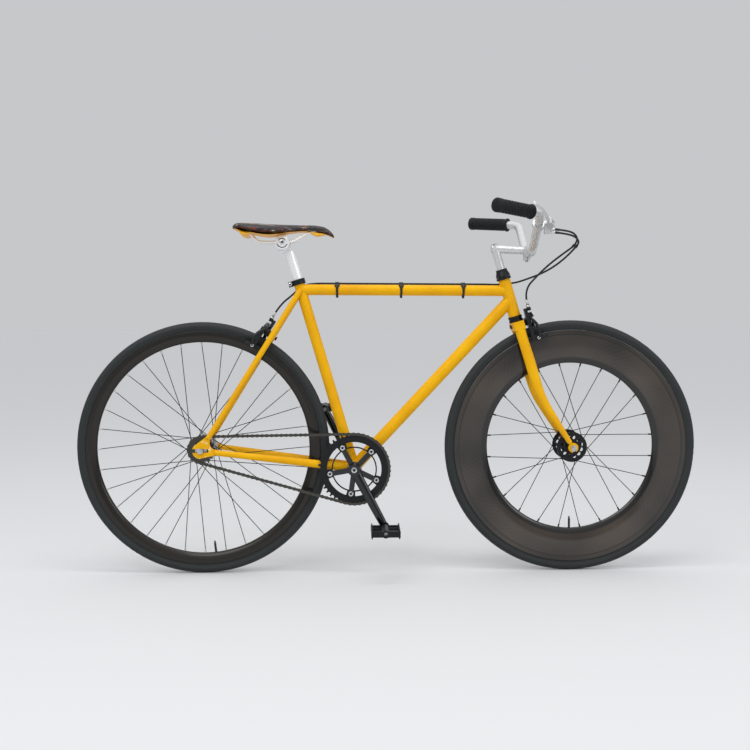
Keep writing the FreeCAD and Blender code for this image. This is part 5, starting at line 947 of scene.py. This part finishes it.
# %% [markdown]
# ## Saddle rails and clamp
# Each rail is one bent tube. It leaves the shell at the back, drops to the clamp, runs straight
# through it and rises to the nose. The clamp is a cradle under the rails and a cap over them, each a
# section in the side view carried across the bike, with a dark gap line where the halves part.

# %% Saddle rails and clamp
RAIL_BENDS = np.array([(-367, 32.5, 909), (-358, 30.5, 902.5), (-347, 27.5, 890.5), (-335, 24, 882.6),
                       (-322, 22, 881), (-289, 22, 881), (-256, 22, 881), (-245, 20.8, 883.2),
                       (-229, 17, 892), (-213, 13.5, 901.5), (-199, 11, 906.5), (-185, 9, 909)])
RAIL_RADIUS = 3.5 * MM
RAIL_ROWS = 90
CLAMP_CENTRE = np.array([-274.0, 0, 881.0]) * MM
CLAMP_HALF = 28.5
CLAMP_EDGE = 0.8
EDGE_SHRINK = 0.94
CLAMP_POINTS = 40
CRADLE_REACH, CRADLE_DROP = 19, 18
CAP_REACH, CAP_RISE, CAP_POWER = 15, 16, 0.6
CLAMP_GAP = 2
LINE_RADIUS = 1.1 * MM
LINE_PROUD = 0.1
rail_run = np.concatenate(([0], np.cumsum(np.linalg.norm(np.diff(RAIL_BENDS, axis=0), axis=1))))
rail_line = smooth_through(rail_run, RAIL_BENDS, np.linspace(0, rail_run[-1], RAIL_ROWS)) * MM
for name, side in (("saddle_rail_right", -1), ("saddle_rail_left", 1)):
    rail = grid_mesh(name, tube_points(rail_line * (1, side, 1), RAIL_RADIUS), satin)
    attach(rail, "seat")
    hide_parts("saddle_rails")


def carried_across(name, outline, material):
    """p(u, v): an outline of (x, z) points in mm about the clamp, a little smaller at its two side faces."""
    across = np.array([-CLAMP_HALF, CLAMP_EDGE - CLAMP_HALF, CLAMP_HALF - CLAMP_EDGE, CLAMP_HALF])
    grown = np.array([EDGE_SHRINK, 1, 1, EDGE_SHRINK])[:, None, None]
    middle = outline.mean(0)
    shape = middle + (outline - middle) * grown
    sideways = np.broadcast_to(across[:, None], shape.shape[:2])
    points = np.stack([shape[..., 0], sideways, shape[..., 1]], -1)
    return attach(grid_mesh(name, CLAMP_CENTRE + points * MM, material), "seat")


lower_turn = np.radians(np.linspace(180, 360, CLAMP_POINTS))
cradle = np.column_stack([CRADLE_REACH * np.cos(lower_turn), CRADLE_DROP * np.sin(lower_turn) - CLAMP_GAP])
carried_across("clamp_cradle", cradle, satin)
upper_turn = np.radians(np.linspace(0, 180, CLAMP_POINTS))
cap_rise = CAP_RISE * np.sin(upper_turn) ** CAP_POWER
carried_across("clamp_cap", np.column_stack([CAP_REACH * np.cos(upper_turn), CLAMP_GAP + cap_rise]), satin)
for name, radius, start, end in (("clamp_line_lower", 14.5, 200, 340), ("clamp_line_upper", 9.5, 25, 155)):
    turn = np.radians(np.linspace(start, end, CLAMP_POINTS))
    for label, side in (("right", -1), ("left", 1)):
        face = np.full(CLAMP_POINTS, side * (CLAMP_HALF + LINE_PROUD))
        arc = CLAMP_CENTRE + np.column_stack([radius * np.cos(turn), face, radius * np.sin(turn)]) * MM
        line = grid_mesh(f"{name}_{label}", tube_points(arc, LINE_RADIUS, 10), gloss_black)
        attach(line, "seat")
print("rails", round(run_length(rail_line), 3), "m long")

# %% [markdown]
# ## Bolts and adjusters
# The eye finds a bicycle's scale in its bolts. Each is a bright turned head with a flat face. Its socket is a
# dark hexagon of painted shade standing a hair proud of that face, made from the same turned shape with only
# six columns. Ring and crank bolts take their places from the crank axle, the brake bolts from the caliper
# pivots, and the saddle bolts from the clamp. Only the collar bolt has a place of its own.

# %% Small fittings
painted_socket_shade = plain("socket_shadow", "#050505", roughness=0.8)
HEAD_RISE = 0.6
HEAD_CHAMFER = 0.93
HEAD_CENTRE = 0.1
SOCKET_SHARE = 0.52
SOCKET_DEPTH = 0.3
SOCKET_PROUD = 0.06


def socket_bolt(name, place, along, radius, body, sunk=1.5):
    """Bolt head of a radius in mm whose face lies at the place, with a dark hexagon of painted shade for its
    socket.
    """
    head = ((-sunk, radius), (HEAD_RISE / 2, radius), (HEAD_RISE, HEAD_CHAMFER * radius),
            (HEAD_RISE, HEAD_CENTRE))
    turned(name, place, along, head, bolt_steel, body, 32)
    face = np.array(place) + np.array(along) * HEAD_RISE * MM
    # The dark hexagon is painted shade: it stands a hair proud of the flat face, in place of a real socket's
    # depth.
    socket = ((-SOCKET_DEPTH, SOCKET_SHARE * radius), (SOCKET_PROUD, SOCKET_SHARE * radius))
    turned(name + "_socket", face, along, socket, painted_socket_shade, body, 6)


bottom_bracket = np.array(joints["crank_spin"]["pos_m"])
pedal_way = np.array(joints["pedal_right_spin"]["pos_m"]) - bottom_bracket
crank_angle = math.atan2(pedal_way[2], pedal_way[0])
OUTWARD = np.array([0.0, -1.0, 0.0])
RING_BOLTS = 5
RING_BOLT_REACH = 65 * MM
RING_BOLT_FACE = 50.8 * MM
CRANK_BOLT_FACE = 64 * MM
SADDLE_BOLT_FACE = 29.6 * MM
COLLAR_BOLT = np.array([-254.8, -11.7, 769.9]) * MM
RING_HEAD, CRANK_HEAD, SADDLE_HEAD, COLLAR_HEAD = 6.7, 7.9, 6.2, 4.9
for index in range(RING_BOLTS):
    angle = crank_angle + (index + 0.5) * 2 * math.pi / RING_BOLTS
    reach = np.array([math.cos(angle), 0, math.sin(angle)]) * RING_BOLT_REACH
    place = bottom_bracket + reach + OUTWARD * RING_BOLT_FACE
    socket_bolt(f"ring_bolt_{index}", place, OUTWARD, RING_HEAD, "crankset")
for kind, centre, face, radius, body in (
        ("crank_bolt", bottom_bracket, CRANK_BOLT_FACE, CRANK_HEAD, "crankset"),
        ("saddle_bolt", CLAMP_CENTRE, SADDLE_BOLT_FACE, SADDLE_HEAD, "seat")):
    for label, side in (("right", 1), ("left", -1)):
        socket_bolt(f"{kind}_{label}", centre + side * OUTWARD * face, side * OUTWARD, radius, body)
socket_bolt("collar_bolt", COLLAR_BOLT, OUTWARD, COLLAR_HEAD, "frame", sunk=3.4)

PAD_BOLT_ACROSS = 35.2
PAD_HEAD, WIRE_HEAD, CALIPER_HEAD, PIVOT_HEAD = 4.3, 5.0, 5.4, 5.2
WIRE_BOLT, CALIPER_BOLT, PIVOT_BOLT = (STOP_ACROSS + 1, 17, 26.2), (0, 0, 18.5), (22, 6, 26.5)
ADJUSTER = ((-8, 4.6), (-7.6, 5.2), (-2.4, 5.2), (-2, 4.4), (0.2, 3.6))
for label, axes, body in (("front", front_caliper, "steering"), ("rear", rear_caliper, "frame")):
    stop_arm, anchor_arm = label + "_stop_arm", label + "_anchor_arm"
    for side, arm in ((-1, stop_arm), (1, anchor_arm)):
        place = caliper_point(axes, side * PAD_BOLT_ACROSS, -BLOCK_DOWN, BLOCK_OUT)
        socket_bolt(arm + "_pad_bolt", place, side * axes[1], PAD_HEAD, arm, sunk=3.1)
    wire_place = caliper_point(axes, *WIRE_BOLT)
    socket_bolt(anchor_arm + "_wire_bolt", wire_place, axes[3], WIRE_HEAD, anchor_arm, sunk=3.0)
    socket_bolt(label + "_caliper_bolt", caliper_point(axes, *CALIPER_BOLT), axes[3], CALIPER_HEAD, body)
    socket_bolt(label + "_pivot_bolt", caliper_point(axes, *PIVOT_BOLT), axes[3], PIVOT_HEAD, body)
    barrel = caliper_point(axes, STOP_ACROSS, BARREL_TOP, WIRE_OUT)
    turned(stop_arm + "_adjuster", barrel, axes[2], ADJUSTER, bolt_steel, stop_arm)
print("crank at", round(math.degrees(crank_angle), 1), "degrees, with", RING_BOLTS, "ring bolts")

# %% [markdown]
# ## Caliper arms and springs
# Outside its flat arm each caliper carries a forged bow that reaches round to the brake block, and a
# thin wire spring that pushes the arm open. Both are round rods along a short spline.

# %% Caliper arms and springs
BOW = np.array([(29, 9, 16), (33, -4, 25), (35, -20, 29), (34, -36, 28), (33, -44, 24)])
SPRING = np.array([(10, 4, 25), (18, -2, 27), (25, -14, 28.5), (27, -26, 27)])
RODS = (("bow", BOW, 4.2, gloss_black), ("spring", SPRING, 1.0, bolt_steel))
for label, axes in (("front", front_caliper), ("rear", rear_caliper)):
    for side, arm in ((-1, label + "_stop_arm"), (1, label + "_anchor_arm")):
        for kind, route, radius, material in RODS:
            path = centreline(np.array([caliper_point(axes, side * a, h, n) for a, h, n in route]))
            rod = grid_mesh(f"{arm}_{kind}", tube_points(path, radius * MM), material)
            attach(rod, arm)
            print(rod.name, round(run_length(path), 3), "m long")

# %% [markdown]
# ## Cable tie
# The two housings are held together where their fall begins. The tie is a flat band: an ellipse
# that goes round both, carried a few millimetres along them.

# %% Cable tie
TIE_HALF_WIDTH = 3 * MM
TIE_MARGIN = 4.0 * MM
front_line = centreline(front_route)
tie_on_front = np.linalg.norm(front_line - upper_bow[-1], axis=1).argmin()
tie_on_loop = np.linalg.norm(loop_line - front_line[tie_on_front], axis=1).argmin()
apart = loop_line[tie_on_loop] - front_line[tie_on_front]
tie_along = front_line[tie_on_front + 1] - front_line[tie_on_front - 1]
tie_along /= np.linalg.norm(tie_along)
wide = apart / np.linalg.norm(apart)
narrow = np.cross(tie_along, wide)
turn = np.linspace(0, 2 * math.pi, 40, endpoint=False)
band = (np.cos(turn)[:, None] * wide * (np.linalg.norm(apart) / 2 + TIE_MARGIN)
        + np.sin(turn)[:, None] * narrow * TIE_MARGIN)
tie_rows = np.linspace(-TIE_HALF_WIDTH, TIE_HALF_WIDTH, 4)[:, None, None] * tie_along
tie = grid_mesh("cable_tie", front_line[tie_on_front] + apart / 2 + tie_rows + band[None], clip_plastic)
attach(tie, "steering")
print("cables lie", round(float(np.linalg.norm(apart)) / MM, 1), "mm apart at the tie")

# %% [markdown]
# ## Studio
# The bicycle stands on a wide pale floor. The sky is bright overhead and dim at the horizon, which
# tells metal from plastic. Two large soft lights fill in from the front, and a long narrow one
# overhead draws the highlights along tubes and rims. The camera itself sees one even pale tone
# behind the floor, from every side.

# %% Floor and light
FLOOR_HALF = 40.0
corners = np.array([(-1, -1, 0), (1, -1, 0), (1, 1, 0), (-1, 1, 0)]) * FLOOR_HALF
floor_mesh = bpy.data.meshes.new("floor")
floor_mesh.from_pydata(corners.tolist(), [], [(0, 1, 2, 3)])
floor = bpy.data.objects.new("floor", floor_mesh)
bpy.context.scene.collection.objects.link(floor)
wear(floor, plain("pale_floor", "#D3D4D6", roughness=0.8))

world = bpy.data.worlds.new("studio")
bpy.context.scene.world = world
world.use_nodes = True
sky_tree = world.node_tree
height = add(sky_tree, "SeparateXYZ", {0: add(sky_tree, "TexCoord").outputs["Generated"]}).outputs[2]
sky = add(sky_tree, "ValToRGB", {"Fac": height})
grade(sky.color_ramp, (0.0, paint("#85878A")), (1.0, paint("#FFFFFF")), (0.35, paint("#DDDFE1")))
seen = add(sky_tree, "LightPath").outputs["Is Camera Ray"]
backdrop = add(sky_tree, "Mix", {0: seen, 6: sky.outputs["Color"], 7: paint("#C6C8CA")}, data_type="RGBA")
sky_tree.links.new(backdrop.outputs[2], sky_tree.nodes["Background"].inputs["Color"])
bpy.context.scene.view_settings.view_transform = "Standard"


def soft_light(name, place, target, power, size, depth):
    """Rectangular area light at a place, facing a target."""
    lamp = bpy.data.lights.new(name, "AREA")
    lamp.energy = power
    lamp.shape = "RECTANGLE"
    lamp.size = size
    lamp.size_y = depth
    item = bpy.data.objects.new(name, lamp)
    facing = (Vector(target) - Vector(place)).to_track_quat("-Z", "Y")
    item.matrix_world = Matrix.Translation(place) @ facing.to_matrix().to_4x4()
    bpy.context.scene.collection.objects.link(item)


soft_light("key", (-1.6, -3.0, 3.2), (0, 0, 0.5), 42, 2.4, 2.4)
soft_light("fill", (2.8, -2.6, 2.0), (0, 0, 0.5), 22, 1.8, 1.8)
soft_light("overhead", (0, -0.7, 3.4), (0, -0.1, 0.4), 28, 3.0, 0.5)
print("floor", 2 * FLOOR_HALF, "m wide, lights", len(bpy.data.lights))

# %% [markdown]
# ## Camera
# The camera stands about three metres off the drive side, just below the top tube. A camera fit gives
# the focal length in pixels of the frame, and the sensor's width turns that into millimetres. Yaw,
# pitch and roll make the three directions of the camera's matrix.

# %% Camera
CAMERA_PLACE = np.array([-84.1, -2900.0, 696.7]) * MM
YAW, PITCH, ROLL = (math.radians(angle) for angle in (1.04, -3.32, -0.27))
FOCAL_PIXELS = 1088.74
FRAME_PIXELS = 750
SENSOR = 36.0
ahead = np.array([math.sin(YAW) * math.cos(PITCH), math.cos(YAW) * math.cos(PITCH), math.sin(PITCH)])
level = np.array([math.cos(YAW), -math.sin(YAW), 0])
upright = np.cross(level, ahead)
right = math.cos(ROLL) * level + math.sin(ROLL) * upright
up = np.cross(right, ahead)
lens = bpy.data.cameras.new("camera")
lens.sensor_fit = "HORIZONTAL"
lens.sensor_width = SENSOR
lens.lens = FOCAL_PIXELS / FRAME_PIXELS * SENSOR
camera = bpy.data.objects.new("camera", lens)
camera.matrix_world = Matrix.Translation(CAMERA_PLACE) @ Matrix((right, up, -ahead)).transposed().to_4x4()
bpy.context.scene.collection.objects.link(camera)
bpy.context.scene.camera = camera
print("lens", round(lens.lens, 1), "mm")
